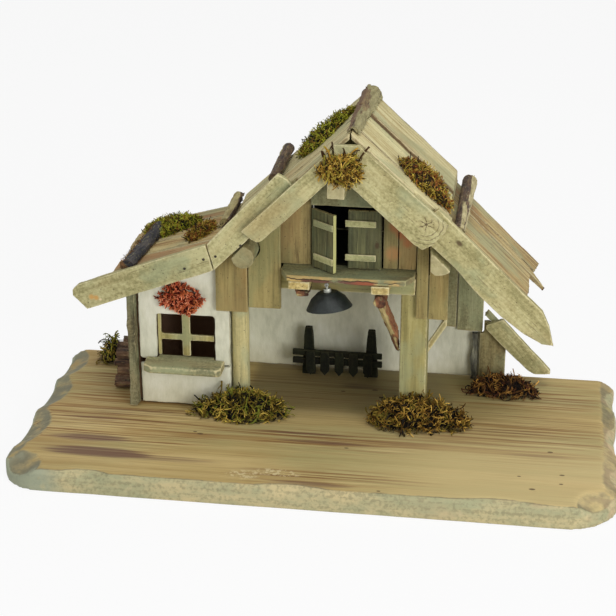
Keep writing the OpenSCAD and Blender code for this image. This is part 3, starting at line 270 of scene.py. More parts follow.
def burstKnot(f, here, place, reach):
    # A knot with cracks that run out from it and arcs on one side
    x = f.axis(here, 0) - place[0] * mm
    z = f.axis(here, 2) - place[1] * mm
    away = frontDistance(f, here, place)
    wobble = f.noise(here, 260)
    cracks = f.band(f.math("SINE", f.math("ARCTAN2", z, x) * 6 + wobble * 9), 0.6, 0.92)
    cracks = cracks * f.band(away, reach * mm, 0.35 * reach * mm)
    heart = f.band(away, 1.8 * mm, 0.7 * mm)
    arcs = f.band(f.math("SINE", away * 1800 + wobble * 5), 0.7, 1)
    arcs = arcs * f.band(x - z, 2.5 * mm, 7 * mm) * f.band(away, 0.8 * reach * mm, reach * mm)
    arcs = arcs * f.band(away, 2.6 * reach * mm, 2.2 * reach * mm)
    return f.math("MAXIMUM", f.math("MAXIMUM", cracks * 0.95, heart), arcs * 0.7)


def barkEdge(f, body, look, streaks, grit):
    # Bark that changes along a board's front edge, under a pale lip
    here = f.here()
    x, y, z = (f.axis(here, k) for k in range(3))
    along = (x - look["left"] + 0.006 * (grit - 0.5)) * (1 / look["length"])
    height = z - look["seam"] - 0.009 * (f.noise(f.stretch(here, (1, 0, 0)), 45) - 0.5)
    lip = f.mix(f.band(grit, 0.46, 0.58) * 0.6, look["lip"], look["lipSpot"])
    edge = f.cover(f.ramp(along, look["along"]), [(streaks, 0.5, 0.6, 0.45, look["streak"]),
                                                  (height, 0, 0.3 * mm, 1, lip),
                                                  (abs(height), 0.7 * mm, 0.3 * mm, 0.95, look["crack"])])
    return f.cover(body, [(y + 0.0015 * (grit - 0.5), look["front"] + 0.8 * mm, look["front"], 0.95, edge)])


# Noises along the grain: how much of its length counts, scale, detail and roughness
woodGrain = {"clouds": (0.42, 46, 4, 0.6), "streaks": (0.04, 240, 4, 0.62), "fine": (0.05, 950, 3, 0.6),
             "drift": (0.12, 28, 2), "patches": (0.25, 60, 2), "green": (0.6, 31), "brown": (0.3, 23),
             "scratches": (0.07, 520, 2)}


def woodFinish(name, look):
    f = Finish(name)
    grain, place, tint, here = f.attribute("grain"), f.attribute("place"), f.attribute("tint"), f.here()
    wear = f.attribute("wear", "Fac")
    noise = f.alongGrain(grain, woodGrain)
    streaks, fine = noise["streaks"], noise["fine"]
    grit = f.noise(here, 420, 3, 0.6)
    tone = noise["clouds"] * look["clouds"] + streaks * (1 - look["clouds"]) + look["mottle"] * (grit - 0.5)
    body = f.ramp(tone, [(0.38, look["dark"]), (0.49, look["mid"]), (0.6, look["light"])])
    # Year rings cut along the board: bands of the distance across it, bent by slow noise, strong in places
    across = f.axis(grain, 1) + 0.4 * f.axis(grain, 2) + 0.022 * noise["drift"] + 0.0012 * streaks
    rings = f.math("SINE", across * (2 * math.pi / look["ring"]))
    lines = f.band(rings, 0.25, 1) * f.band(noise["patches"], 0.4, 0.62)
    body = f.mix(lines * look["ringShare"], body, look["line"])
    # Streaks, stains, long dark marks of the saw and the split, and small specks
    body = f.cover(body, [(fine, 0.54, 0.72, look["streakShare"], look["line"]),
                          (noise["green"], 0.48, 0.62, look["greenShare"], look["green"]),
                          (noise["brown"], 0.52, 0.66, look["brownShare"], look["brown"]),
                          (noise["scratches"], 0.66, 0.74, look["scratchShare"], look["knot"]),
                          (f.noise(here, 640, 1), 0.7, 0.76, look["speckShare"], look["knot"])])
    # A board's edges, what is rubbed off them, its hollows and its ends
    sides = abs(f.axis(place, 1)) + 0.16 * (streaks - 0.5)
    ends = abs(f.axis(place, 0)) + 0.02 * (fine - 0.5)
    body = f.cover(body, [(sides, 0.84, 1, look["edgeShare"], look["edge"]),
                          (wear + 0.5 * (grit - 0.5), 0.16, 0.5, look["wearShare"], look["worn"]),
                          (0.4 * (grit - 0.5) - wear, 0.1, 0.45, look["hollowShare"], look["line"]),
                          (ends, 0.975, 0.995, look["endShare"], look["end"])])
    # Small knots all over, and the marks that one board alone has
    cells = {"Vector": f.stretch(grain, (0.6, 1, 0)), "Scale": look["knotScale"]}
    knot, pick = (f.node("ShaderNodeTexVoronoi", {"voronoi_dimensions": "2D"}, cells, out)
                  for out in ("Distance", "Color"))
    knots = f.band(knot, 0.045, 0.016) * f.band(f.axis(pick, 0), 0.74, 0.76)
    for x, z, radius, share in look["spots"]:
        knots = f.math("MAXIMUM", knots, flatSpot(f, here, (x, z), radius) * share)
    for x, z, reach in look["bursts"]:
        knots = f.math("MAXIMUM", knots, burstKnot(f, here, (x, z), reach))
    body = f.mix(knots * 0.92, body, look["knot"])
    for x, z, radius, shade in look["bare"]:
        body = f.mix(flatSpot(f, here, (x, z), radius, 0.3) * f.band(streaks, 0.3, 0.5), body, shade)
    if "strip" in look:
        start, end, shade = look["strip"]
        body = f.cover(body, [(f.axis(here, 0), start * mm, end * mm, 0.9, shade)])
    # One board is browner than the next
    body = f.mix(f.axis(tint, 1) * look["tintShare"], f.vary(body, tint, look["spread"]), look["brown"])
    if "barkEdge" in look:
        body = barkEdge(f, body, look["barkEdge"], streaks, grit)
    height = streaks * 0.6 + fine * 0.45 + grit * 0.35 - lines * 0.2 - knots * 0.5
    f.shader.inputs["Specular IOR Level"].default_value = look["gloss"]
    return f.done(body, 0.8 + 0.12 * streaks, height, look["depth"], 0.7)


# Weathered board: colours, how strong each mark is, the width of a year ring and the depth of the relief
weathered = {
    "light": paint(198, 192, 142), "mid": paint(178, 170, 120), "dark": paint(146, 141, 94),
    "line": paint(112, 102, 64), "green": paint(156, 165, 126), "brown": paint(178, 150, 100),
    "edge": paint(188, 180, 132), "end": paint(190, 168, 116), "knot": paint(74, 58, 36),
    "worn": paint(222, 212, 166), "clouds": 0.6, "mottle": 0.5, "ring": 4.2 * mm, "ringShare": 0.1,
    "streakShare": 0.2, "greenShare": 0.55, "brownShare": 0.35, "scratchShare": 0.5, "speckShare": 0.75,
    "edgeShare": 0.1, "wearShare": 0.75, "hollowShare": 0.35, "endShare": 0.5, "knotScale": 17, "spread": 0.1,
    "tintShare": 0.1, "gloss": 0.5, "depth": 0.5 * mm, "spots": [], "bursts": [], "bare": [],
}


def woodLike(**changes):
    return {**weathered, **changes}


# Knots and stains that the left front board shows, X, Z and radius in millimetres, and how dark
annexSpots = [(-147, 160.6, 1.0, 0.6), (-138.7, 158.4, 1.1, 0.7), (-112, 160.8, 1.3, 0.8),
              (-96, 169.8, 1.4, 1), (-86, 173, 1.1, 0.9), (-173.8, 138.3, 1.0, 0.5),
              (-116, 158, 1.6, 0.35), (-128, 152, 0.8, 0.4)]
hewnWood = woodFinish("hewnBargeboard", weathered)
annexBargeWood = woodFinish("annexBargeboard", woodLike(
    spots=annexSpots, bare=[(-193, 130.4, 3.4, paint(204, 160, 92)), (-189, 130, 3.2, paint(204, 160, 92)),
                            (-185.4, 128.6, 1.8, paint(228, 210, 166))]))
knottyWood = woodFinish("knottyBargeboard", woodLike(
    bursts=[(87.3, 212.6, 8.5)], green=paint(166, 174, 136)))
postWood = woodFinish("squaredPost", woodLike(
    light=paint(190, 180, 118), mid=paint(170, 160, 98), dark=paint(140, 132, 76), clouds=0.35, mottle=0.12,
    ring=5.2 * mm, ringShare=0.25))
roughPostWood = woodFinish("roughCornerPost", woodLike(
    light=paint(140, 134, 100), mid=paint(108, 103, 72), dark=paint(74, 70, 48), line=paint(56, 50, 34),
    green=paint(122, 130, 98), streakShare=0.5, worn=paint(170, 162, 122), edge=paint(120, 112, 80)))
roundPostWood = woodFinish("roundPost", woodLike(
    light=paint(216, 206, 150), mid=paint(200, 188, 132), dark=paint(168, 160, 112),
    green=paint(168, 176, 140), clouds=0.35, mottle=0.15))
plankWood = woodFinish("splitRoofPlank", woodLike(
    light=paint(228, 221, 170), mid=paint(212, 203, 151), dark=paint(184, 168, 116), line=paint(134, 100, 60),
    edge=paint(88, 58, 34), edgeShare=0.85, end=paint(110, 78, 48), brown=paint(178, 134, 84), brownShare=0.3,
    spread=0.14, tintShare=0.16, clouds=0.35, mottle=0.14, streakShare=0.3, scratchShare=0.7, ring=5 * mm,
    ringShare=0.12, hollowShare=0.8))
brownPlankWood = woodFinish("brownRoofPlank", woodLike(
    light=paint(214, 198, 144), mid=paint(190, 168, 112), dark=paint(144, 114, 70), line=paint(92, 62, 36),
    edge=paint(74, 46, 30), edgeShare=0.9, end=paint(96, 66, 42), brown=paint(158, 106, 64), brownShare=0.6,
    spread=0.2, tintShare=0.25, clouds=0.2, mottle=0.12, streakShare=0.6, scratchShare=0.8, ring=4 * mm,
    ringShare=0.35, hollowShare=0.8))
tanWood = woodFinish("tanHangingBoard", woodLike(
    light=paint(170, 154, 98), mid=paint(148, 134, 82), dark=paint(122, 112, 66), line=paint(82, 68, 38),
    brown=paint(164, 126, 74), greenShare=0.45, green=paint(134, 138, 92), clouds=0.4, mottle=0.12,
    ring=6 * mm, ringShare=0.3, streakShare=0.5, scratchShare=0.6, end=paint(150, 130, 80),
    worn=paint(190, 174, 122), wearShare=0.4))
gableWood = woodFinish("gableBoard", woodLike(
    light=paint(174, 156, 100), mid=paint(150, 134, 84), dark=paint(120, 108, 64), line=paint(82, 60, 34),
    brown=paint(166, 126, 76), greenShare=0.45, green=paint(138, 136, 88), clouds=0.45, ring=4.4 * mm,
    ringShare=0.3, mottle=0.12, streakShare=0.55, scratchShare=0.7, wearShare=0.2,
    bare=[(66, 190, 8, paint(172, 104, 62)), (60, 196, 8, paint(172, 116, 72)),
          (70, 182, 6, paint(170, 112, 68)), (58, 172, 9, paint(178, 134, 84)),
          (53, 206, 5, paint(158, 118, 70))]))
headWood = woodFinish("headBoard", woodLike(
    light=paint(150, 152, 112), mid=paint(128, 130, 92), dark=paint(102, 104, 74), greenShare=0.5,
    brown=paint(132, 116, 76), wearShare=0.2))
leafLook = woodLike(
    light=paint(120, 119, 78), mid=paint(95, 96, 62), dark=paint(68, 70, 44), line=paint(40, 40, 26),
    green=paint(100, 110, 78), brown=paint(112, 98, 62), edge=paint(44, 42, 28), edgeShare=0.75,
    ringShare=0.2, streakShare=0.6, scratchShare=1.0, clouds=0.35, mottle=0.1, worn=paint(150, 148, 98),
    wearShare=0.6)
leafWood = woodFinish("shutterBoard", leafLook)
# The free edge of the open leaf is pale
openLeafWood = woodFinish("openShutterBoard", {**leafLook, "strip": (10.2, 10.9, paint(204, 202, 132))})
battenWood = woodFinish("shutterBatten", woodLike(
    light=paint(190, 188, 134), mid=paint(168, 166, 114), dark=paint(136, 134, 90)))
# Near-black stained wood of the rack, also used as painted shade on the loft floor
rackAndLoftShadeWood = woodFinish("stainedRackAndLoftShade", woodLike(
    light=paint(36, 38, 22), mid=paint(24, 26, 15), dark=paint(15, 16, 10), line=paint(10, 11, 7),
    green=paint(30, 37, 25), brown=paint(38, 29, 19), edge=paint(36, 36, 25), end=paint(46, 43, 30),
    knot=paint(12, 11, 8), worn=paint(74, 72, 50), wearShare=0.4, gloss=0.2))
# The balcony board's front edge: where it is, its left end and length, the height of its seam, and its bark
balconyEdge = {
    "front": -7.5 * mm, "left": -36 * mm, "length": 114 * mm, "seam": 154.9 * mm, "streak": paint(84, 52, 36),
    "crack": paint(46, 22, 14), "lip": paint(172, 150, 96), "lipSpot": paint(196, 158, 96),
    "along": [(0, paint(206, 182, 116)), (0.16, paint(200, 168, 100)), (0.2, paint(96, 58, 42)),
              (0.5, paint(112, 74, 62)), (0.62, paint(150, 78, 52)), (0.7, paint(150, 82, 52)),
              (0.74, paint(204, 184, 122)), (0.88, paint(206, 172, 110)), (0.92, paint(150, 92, 48)),
              (1, paint(160, 144, 92))]}
balconyWood = woodFinish("balconyBoard", woodLike(
    light=paint(158, 158, 114), mid=paint(134, 134, 94), dark=paint(106, 106, 74), green=paint(130, 144, 112),
    brown=paint(150, 112, 66), worn=paint(176, 172, 124), barkEdge=balconyEdge))
joistWood = woodFinish("joistEnd", woodLike(
    light=paint(226, 204, 138), mid=paint(206, 182, 114), dark=paint(164, 140, 82), end=paint(226, 202, 130),
    endShare=0.8, greenShare=0.1, speckShare=1.0))
beamWood = woodFinish("beamEnd", woodLike(end=paint(184, 172, 132), endShare=0.6, speckShare=0.9))
leftBeamWood = woodFinish("leftBeamEnd", woodLike(
    light=paint(158, 150, 108), mid=paint(136, 130, 90), dark=paint(108, 102, 70), end=paint(150, 140, 98),
    endShare=0.7, worn=paint(166, 158, 116), speckShare=0.9))
sillWood = woodFinish("windowSill", woodLike(
    light=paint(180, 178, 136), mid=paint(154, 154, 114), dark=paint(120, 124, 92), greenShare=0.7,
    worn=paint(220, 208, 160), wearShare=0.9))
claddingWood = woodFinish("rearCladding", woodLike(
    light=paint(184, 182, 140), mid=paint(162, 160, 118), dark=paint(134, 132, 96), clouds=0.5))
leanPostWood = woodFinish("leanToPost", woodLike(
    light=paint(158, 146, 100), mid=paint(136, 124, 82), dark=paint(106, 96, 62), brown=paint(150, 118, 74)))
print("wood finishes made")


# Base board: its colours, and places in millimetres, X, Y, half width, half depth and strength, or a radius
baseLook = {
    "pale": paint(205, 182, 124), "mid": paint(178, 154, 97), "tan": paint(156, 123, 69),
    "brown": paint(118, 80, 44), "darkBrown": paint(96, 64, 52), "green": paint(164, 158, 106),
    "paleLine": paint(228, 208, 152), "clean": paint(230, 207, 150), "edgeGreen": paint(158, 160, 124),
    "edgeTan": paint(200, 184, 138), "edgeGrey": paint(112, 110, 82), "edgePale": paint(216, 200, 154),
    "rim": paint(88, 74, 48), "rosy": paint(206, 176, 136), "smear": paint(226, 212, 166),
    # The last two colours of the next line are painted shade, inside the annex and under the stable's roof
    "knot": paint(82, 58, 34), "annexShade": paint(110, 86, 62), "shade": paint(96, 84, 52),
    "blue": paint(148, 156, 134),
    "streaky": [(-172, -30, 125, 66, 1.0), (16, -34, 110, 24, 0.9), (170, -8, 110, 60, 0.6),
                (-10, 70, 120, 50, 0.5), (30, -98, 110, 22, 0.6), (170, 70, 90, 60, 0.6),
                (-190, 60, 60, 70, 0.8)],
    "scorched": [(-188, -56, 46, 10, 1.3), (-178, -80, 56, 11, 1.6), (-120, -84, 60, 7, 0.7),
                 (-196, -20, 40, 9, 0.5), (-160, -6, 60, 9, 0.6), (6, -108, 48, 5, 0.9), (26, 74, 24, 8, 0.9),
                 (-8, -24, 54, 5, 0.7), (8, -37, 60, 4.5, 0.8), (-40, -92, 26, 6, 0.4),
                 (186, -34, 40, 6, 0.4), (150, 6, 70, 6, 0.4)],
    "smears": [(-30, -132, 40, 9, 1.2), (-50, -100, 20, 12, 0.6), (-22, -92, 26, 8, 0.7)],
    "knots": [(182.8, -91.5, 1.9), (206.3, -65.1, 1.6), (205.6, -80.1, 1.3), (171.9, -71.7, 1.2),
              (196.3, -27, 1.8), (-98, -36, 2.0), (12, 62, 1.6), (40, 68, 2.2), (28, -44, 1.4),
              (62, -112, 1.2), (-103, -33, 1.4)],
}
baseGrain = {"bands": (0.016, 85, 4, 0.6), "streaks": (0.016, 330, 4, 0.66), "fine": (0.02, 1000, 3, 0.6),
             "wander": (0.22, 36), "calm": (0.3, 12), "thin": (0.012, 620, 2, 0.6), "worked": (0.25, 22),
             "stain": (0.4, 30, 5, 0.7), "rosy": (0.3, 40)}


def baseFinish(look):
    f = Finish("hewnBase")
    grain, slope, here = f.attribute("grain"), f.attribute("slope", "Fac"), f.here()
    noise = f.alongGrain(grain, baseGrain)
    bands, streaks, fine = noise["bands"], noise["streaks"], noise["fine"]
    worn, grit = f.noise(grain, 60), f.noise(here, 330, 3, 0.6)
    x, y = f.axis(here, 0), f.axis(here, 1)

    def zones(places, bend):
        total = 0.0
        for cx, cy, rx, ry, share in places:
            dx = (x - cx * mm) * (1 / (rx * mm))
            dy = (y - cy * mm) * (1 / (ry * mm)) + bend * (noise["wander"] - 0.5)
            total = total + f.band(dx * dx + dy * dy, 1, 0) * share
        return total

    # Planed top: tan, pale and brown lines, strongest in the streaky places
    contrast = zones(look["streaky"], 0.5)
    body = f.mix(f.band(bands * 0.6 + streaks * 0.4, 0.42, 0.57), look["mid"], look["pale"])
    body = f.cover(body, [
        (noise["calm"], 0.42, 0.58, 0.6, look["green"]),
        (streaks * 0.6 + bands * 0.4, 0.485, 0.56, f.band(contrast + 0.3, 0.1, 1) * 0.85, look["tan"]),
        (streaks, 0.46, 0.38, f.band(contrast + 0.1, 0.2, 1) * 0.6, look["paleLine"]),
        (streaks, 0.53, 0.62, f.band(contrast + 0.1, 0.05, 0.9) * 0.9, look["brown"]),
        (fine, 0.5, 0.64, 0.4, look["tan"]),
        (noise["thin"], 0.56, 0.66, f.band(contrast + 0.4, 0, 1) * 0.5, look["brown"]),
        (noise["worked"], 0.4, 0.6, f.band(x, -60 * mm, -150 * mm) * 0.4, look["tan"]),
        (x, 0, 130 * mm, f.band(y, 20 * mm, -60 * mm) * 0.45, look["clean"])])
    burn = zones(look["scorched"], 1.4) * (0.6 + 0.5 * f.band(streaks, 0.4, 0.6))
    # Painted shade under the stable's roof, darker from its front towards the rear wall
    underRoofShade = f.band(x, -78 * mm, -66 * mm) * f.band(x, 124 * mm, 84 * mm)
    body = f.cover(body, [(burn, 0, 1.2, 0.85, look["darkBrown"]),
                          (y, 0, 34 * mm, underRoofShade * 0.6, look["shade"])])
    # Hewn, stained edge, with a painted shadow line where it starts
    edge = f.band(slope + 0.2 * (worn - 0.5), 0.04, 0.14)
    stained = f.mix(f.band(noise["stain"], 0.36, 0.66), look["edgeGreen"], look["edgeTan"])
    stained = f.cover(stained, [(grit * 0.6 + streaks * 0.4, 0.46, 0.6, 0.5, look["edgeGrey"]),
                                (worn, 0.58, 0.7, 0.35, look["edgePale"])])
    body = f.mix(edge * 0.9, body, stained)
    # The rim colour is a painted shadow line along the top of the hewn edge
    rim = edge * (0.35 + 0.5 * f.band(worn, 0.36, 0.5))
    smear = zones(look["smears"], 2.0) * f.band(grit, 0.42, 0.6)
    blueEdge = edge * f.band(worn, 0.25, 0.5) * 0.8
    rosyEdge = edge * f.band(x, 60 * mm, 180 * mm) * 0.5
    body = f.cover(body, [(x, -190 * mm, -216 * mm, blueEdge, look["blue"]),
                          (slope + 0.1 * (worn - 0.5), 0.17, 0.08, rim, look["rim"]),
                          (smear, 0.1, 0.6, 0.6, look["smear"]),
                          (noise["rosy"], 0.45, 0.6, rosyEdge, look["rosy"])])
    knots = 0.0
    for cx, cy, radius in look["knots"]:
        dx = (x - cx * mm) * 0.55
        dy = y - cy * mm
        knots = knots + f.band(dx * dx + dy * dy, (radius * mm) ** 2, (0.2 * radius * mm) ** 2)
    # Painted shade: the board is darker inside the annex, where little light comes
    annexShade = f.between(x, -167 * mm, -81 * mm, 1 * mm) * f.between(y, 17 * mm, 107 * mm, 1 * mm)
    body = f.mix(annexShade * 0.85, f.cover(body, [(knots, 0.1, 0.9, 0.85, look["knot"])]), look["annexShade"])
    height = streaks * 0.5 + fine * 0.5 + grit * edge * 0.8
    return f.done(body, 0.62 + 0.2 * streaks, height, 0.45 * mm, 0.6)


# Plaster, and where no light comes to it: behind the front, in the loft over its floor and in the annex
plasterLook = {
    "tones": [(0.36, paint(204, 204, 180)), (0.5, paint(222, 221, 198)), (0.64, paint(234, 233, 214))],
    "foot": paint(204, 194, 152), "worn": paint(166, 160, 128), "loft": paint(24, 24, 34),
    "annex": paint(150, 118, 92), "behind": (18.2 * mm, 110.4 * mm), "loftFloor": 157 * mm,
    "loftLeft": -80 * mm, "annexSides": (-166.4 * mm, -83.5 * mm)}


def plasterFinish(look):
    f = Finish("brushedPlaster")
    here = f.here()
    broad = f.noise(here, 26)
    brushed = f.noise(f.stretch(here, (1, 1, 0.35)), 230, 4, 0.6)
    grit = f.noise(here, 1100, 2)
    wear = f.attribute("wear", "Fac")
    x, y, z = (f.axis(here, k) for k in range(3))
    body = f.cover(f.ramp(broad * 0.6 + brushed * 0.4, look["tones"]), [
        (z + 0.02 * (broad - 0.5), 0.05, 0.02, 0.3, look["foot"]),
        (0.5 * (brushed - 0.5) - wear, 0.12, 0.4, 0.4, look["worn"])])
    behind = f.between(y, *look["behind"], 0.4 * mm)
    loft = f.band(z, look["loftFloor"], look["loftFloor"] + 1 * mm)
    body = f.cover(body, [(x, look["loftLeft"], look["loftLeft"] + 1 * mm, behind * loft, look["loft"])])
    body = f.mix(behind * f.between(x, *look["annexSides"], 0.4 * mm), body, look["annex"])
    height = brushed * 0.8 + broad * 0.6 + grit * 0.25
    return f.done(body, 0.86, height, 0.9 * mm, 0.7)


barkGrain = {"furrow": (0.14, 420, 5, 0.65), "plates": (0.4, 150, 4, 0.6), "peel": (0.16, 75),
             "crack": (0.08, 330)}


def barkFinish(name, look):
    f = Finish(name)
    grain, place, tint, here = f.attribute("grain"), f.attribute("place"), f.attribute("tint"), f.here()
    wear = f.attribute("wear", "Fac")
    noise = f.alongGrain(grain, barkGrain)
    furrow, plates = noise["furrow"], noise["plates"]
    speck = f.noise(here, 500, 2)
    tones = [(0.38, look["deep"]), (0.5, look["mid"]), (0.62, look["high"])]
    body = f.ramp(furrow * 0.5 + plates * 0.5, tones)
    # One side has another tone, and on another the bark has come off in long strips
    turned = f.measure("DOT_PRODUCT", place, look["otherSide"]) + 0.5 * (plates - 0.5)
    loose = noise["peel"] + 0.35 * f.measure("DOT_PRODUCT", place, look["bareSide"])
    peeled = f.band(loose, look["bareFrom"], look["bareFrom"] + 0.04)
    bare = f.ramp(furrow * 0.6 + plates * 0.4, [(0.4, look["bareDark"]), (0.58, look["bare"])])
    body = f.mix(peeled * 0.92, f.cover(body, [(turned, 0.1, 0.35, 0.85, look["other"])]), bare)
    ends = abs(f.axis(place, 0)) + 0.03 * (plates - 0.5)
    body = f.cover(body, [(speck, 0.6, 0.68, 0.5, look["speck"]),
                          (noise["crack"], 0.62, 0.7, 0.8, look["deep"]),
                          (wear + 0.4 * (speck - 0.5), 0.2, 0.5, 0.35, look["bare"]),
                          (ends, 0.97, 0.99, 0.9, look["end"])])
    height = furrow * 0.8 + plates * 0.7 - 0.5 * peeled
    return f.done(f.vary(body, tint, 0.2), 0.86, height, 1.1 * mm, 0.8)


# The sides are given in a pole's own axes: along it, across it and through it
darkBark = {
    "deep": paint(38, 28, 24), "mid": paint(80, 60, 46), "high": paint(124, 102, 74),
    "bare": paint(196, 184, 132), "bareDark": paint(150, 134, 88), "speck": paint(124, 126, 88),
    "end": paint(166, 148, 106), "other": paint(80, 60, 46), "otherSide": (0, 0, 0),
    "bareSide": (0, 0, 0), "bareFrom": 0.66}


def barkLike(**changes):
    return {**darkBark, **changes}


baseWood = baseFinish(baseLook)
plaster = plasterFinish(plasterLook)
logBark = barkFinish("logBark", barkLike(
    deep=paint(50, 40, 36), mid=paint(122, 92, 70), high=paint(182, 150, 112), end=paint(150, 112, 86)))
rightBark = barkFinish("rightPoleBark", barkLike(
    bareSide=(0, -0.25, 0.75), bareFrom=0.5, bare=paint(214, 202, 154), bareDark=paint(160, 146, 102)))
valleyBark = barkFinish("valleyPoleBark", barkLike(bareSide=(0, 0.9, 0.35), bareFrom=0.42))
slopeBark = barkFinish("slopePoleBark", barkLike(bareSide=(0, 0.4, 0.3), bareFrom=0.6))
ridgeBark = barkFinish("ridgeBark", barkLike(
    deep=paint(64, 46, 34), mid=paint(132, 108, 74), high=paint(164, 146, 102), bare=paint(182, 174, 126),
    bareDark=paint(148, 138, 94), bareFrom=0.42, bareSide=(0.35, -0.5, 0.3), end=paint(158, 148, 104),
    otherSide=(0, 0.5, -0.35), other=paint(120, 90, 66)))
redBark = barkFinish("redBark", barkLike(
    deep=paint(54, 32, 22), mid=paint(112, 70, 44), high=paint(156, 106, 68), bareFrom=0.68,
    bare=paint(186, 170, 116), bareSide=(0, 0.35, 0), end=paint(176, 158, 110), otherSide=(0, -0.9, 0),
    other=paint(66, 42, 28)))
eaveBark = barkFinish("eaveBark", barkLike(
    deep=paint(26, 26, 30), mid=paint(52, 50, 54), high=paint(84, 78, 74), bareFrom=0.74,
    end=paint(54, 46, 42), otherSide=(0, 0.75, -0.2), other=paint(140, 100, 62)))
stripBark = barkFinish("cornerBark", barkLike(
    deep=paint(66, 64, 54), mid=paint(112, 110, 94), high=paint(168, 166, 142), bareFrom=0.7,
    bare=paint(176, 172, 144)))
print("base, plaster and bark finishes made")


def strandFinish(name, low, mid, high, spare, rough=0.85):
    # A strand is dark at its root and pale at its tip, and each has its own tone
    f = Finish(name)
    strand = f.attribute("strand")
    reach, tone, other = f.axis(strand, 0), f.axis(strand, 1), f.axis(strand, 2)
    mottle = f.noise(f.here(), 220, 2)
    body = f.ramp(reach * 0.5 + tone * 0.6 + 0.3 * (mottle - 0.5), [(0.2, low), (0.46, mid), (0.8, high)])
    body = f.mix(f.band(other, 0.66, 0.8) * 0.7, body, spare)
    f.shader.inputs["Specular IOR Level"].default_value = 0.2
    return f.done(body, rough, mottle, 0.3 * mm, 0.4)


mossGround = strandFinish("groundMoss", paint(18, 15, 6), paint(122, 102, 34), paint(244, 210, 100),
                          paint(128, 134, 44))
mossPost = strandFinish("goldenBrownMoss", paint(18, 13, 6), paint(122, 88, 30), paint(244, 200, 96),
                        paint(126, 112, 40))
mossBack = strandFinish("brownMoss", paint(20, 12, 7), paint(98, 66, 30), paint(226, 172, 84),
                        paint(92, 52, 32))
mossGreen = strandFinish("greenMoss", paint(34, 34, 8), paint(160, 162, 42), paint(232, 232, 96),
                         paint(160, 120, 50))
mossMixed = strandFinish("mixedMoss", paint(36, 26, 10), paint(150, 126, 42), paint(228, 204, 92),
                         paint(164, 96, 50))
mossGold = strandFinish("goldMoss", paint(60, 38, 12), paint(182, 140, 50), paint(244, 214, 112),
                        paint(160, 150, 56))
lichenRed = strandFinish("redLichen", paint(70, 18, 8), paint(182, 76, 44), paint(246, 164, 122),
                         paint(214, 122, 70), 0.8)


def metalFinish(name, dark, pale, metallic, rough):
    f = Finish(name)
    worn = f.noise(f.here(), 160, 4, 0.6)
    fine = f.noise(f.here(), 900, 3, 0.6)
    body = f.ramp(worn * 0.6 + fine * 0.4, [(0.4, dark), (0.62, pale)])
    f.shader.inputs["Metallic"].default_value = metallic
    return f.done(body, rough + 0.2 * worn, fine, 0.2 * mm, 0.3)


shadeMetal = metalFinish("lampEnamel", paint(15, 19, 18), paint(36, 43, 39), 0.3, 0.4)
fittingMetal = metalFinish("lampFitting", paint(150, 152, 140), paint(206, 208, 196), 0.5, 0.4)
wireMetal = metalFinish("bareWire", paint(110, 108, 100), paint(160, 158, 150), 0.8, 0.4)
nailMetal = metalFinish("nailHead", paint(34, 30, 26), paint(78, 70, 58), 0.5, 0.5)
corkyStrand = strandFinish("corkyStrand", paint(36, 22, 14), paint(116, 76, 44), paint(178, 134, 84),
                           paint(92, 82, 42))
print("all finishes made")

# Noise that pushes surfaces in: long waves of the axe and fine ridges of the grain
hewnWaves = bpy.data.textures.new("hewnWaves", "CLOUDS")
hewnWaves.noise_scale = 1
hewnWaves.noise_depth = 1
grainRidges = bpy.data.textures.new("grainRidges", "CLOUDS")
grainRidges.noise_scale = 1
grainRidges.noise_depth = 2
bpy.ops.object.empty_add()
grainGuide = bpy.context.object
grainGuide.name = "grainGuide"


def loosePieces(node):
    # A merged copy of a CAD node, taken apart into its separate boards
    pickOnly(addObject(node + "_copy", frame["nodes"][node].data.copy()))
    bpy.ops.object.mode_set(mode="EDIT")
    bpy.ops.mesh.select_all(action="SELECT")
    bpy.ops.mesh.remove_doubles(threshold=0.00001)
    bpy.ops.mesh.dissolve_limited(angle_limit=math.radians(0.6))
    bpy.ops.mesh.select_all(action="SELECT")
    bpy.ops.mesh.separate(type="LOOSE")
    bpy.ops.object.mode_set(mode="OBJECT")
    pieces = list(bpy.context.selected_objects)
    return sorted(pieces, key=lambda ob: tuple(np.round(readPoints(ob.data).mean(0), 5)))


def boardAxes(ob, grainWay):
    # A board's own axes: along its grain, across it and through its thickness
    mesh = ob.data
    points = readPoints(mesh)
    if grainWay is None:
        spans = np.array([points[e.vertices[1]] - points[e.vertices[0]] for e in mesh.edges])
        along = spans[np.argmax((spans ** 2).sum(1))]
    else:
        along = np.array(grainWay, float)
    along = along / np.linalg.norm(along)
    along = along * np.sign(along[np.argmax(abs(along))])
    best, through = 0, np.array((0, 1, 0.0))
    for face in mesh.polygons:
        normal = np.array(face.normal)
        if abs(normal @ along) < 0.5 and face.area > best:
            best, through = face.area, normal
    through = through - (through @ along) * along
    through = through / np.linalg.norm(through)
    through = through * np.sign(through[np.argmax(abs(through))])
    axes = np.array((along, np.cross(through, along), through))
    local = points @ axes.T
    low, high = local.min(0), local.max(0)
    return axes, (low + high) / 2, np.maximum((high - low) / 2, 1e-5)


wearSteps = 6


def edgeWear(mesh, cell):
    # How far a point stands out from those around it: above 0 on edges, below 0 in hollows
    points, normals = readPoints(mesh), readPoints(mesh, "normal")
    pairs = np.empty(len(mesh.edges) * 2, int)
    mesh.edges.foreach_get("vertices", pairs)
    pairs = pairs.reshape(-1, 2)
    near = np.maximum(np.bincount(pairs.ravel(), minlength=len(points)), 1)
    soft = points
    for step in range(wearSteps):
        soft = np.stack([np.bincount(pairs[:, 0], soft[pairs[:, 1], k], len(points))
                         + np.bincount(pairs[:, 1], soft[pairs[:, 0], k], len(points)) for k in range(3)], 1)
        soft = soft / near[:, None]
    return ((points - soft) * normals).sum(1) / cell


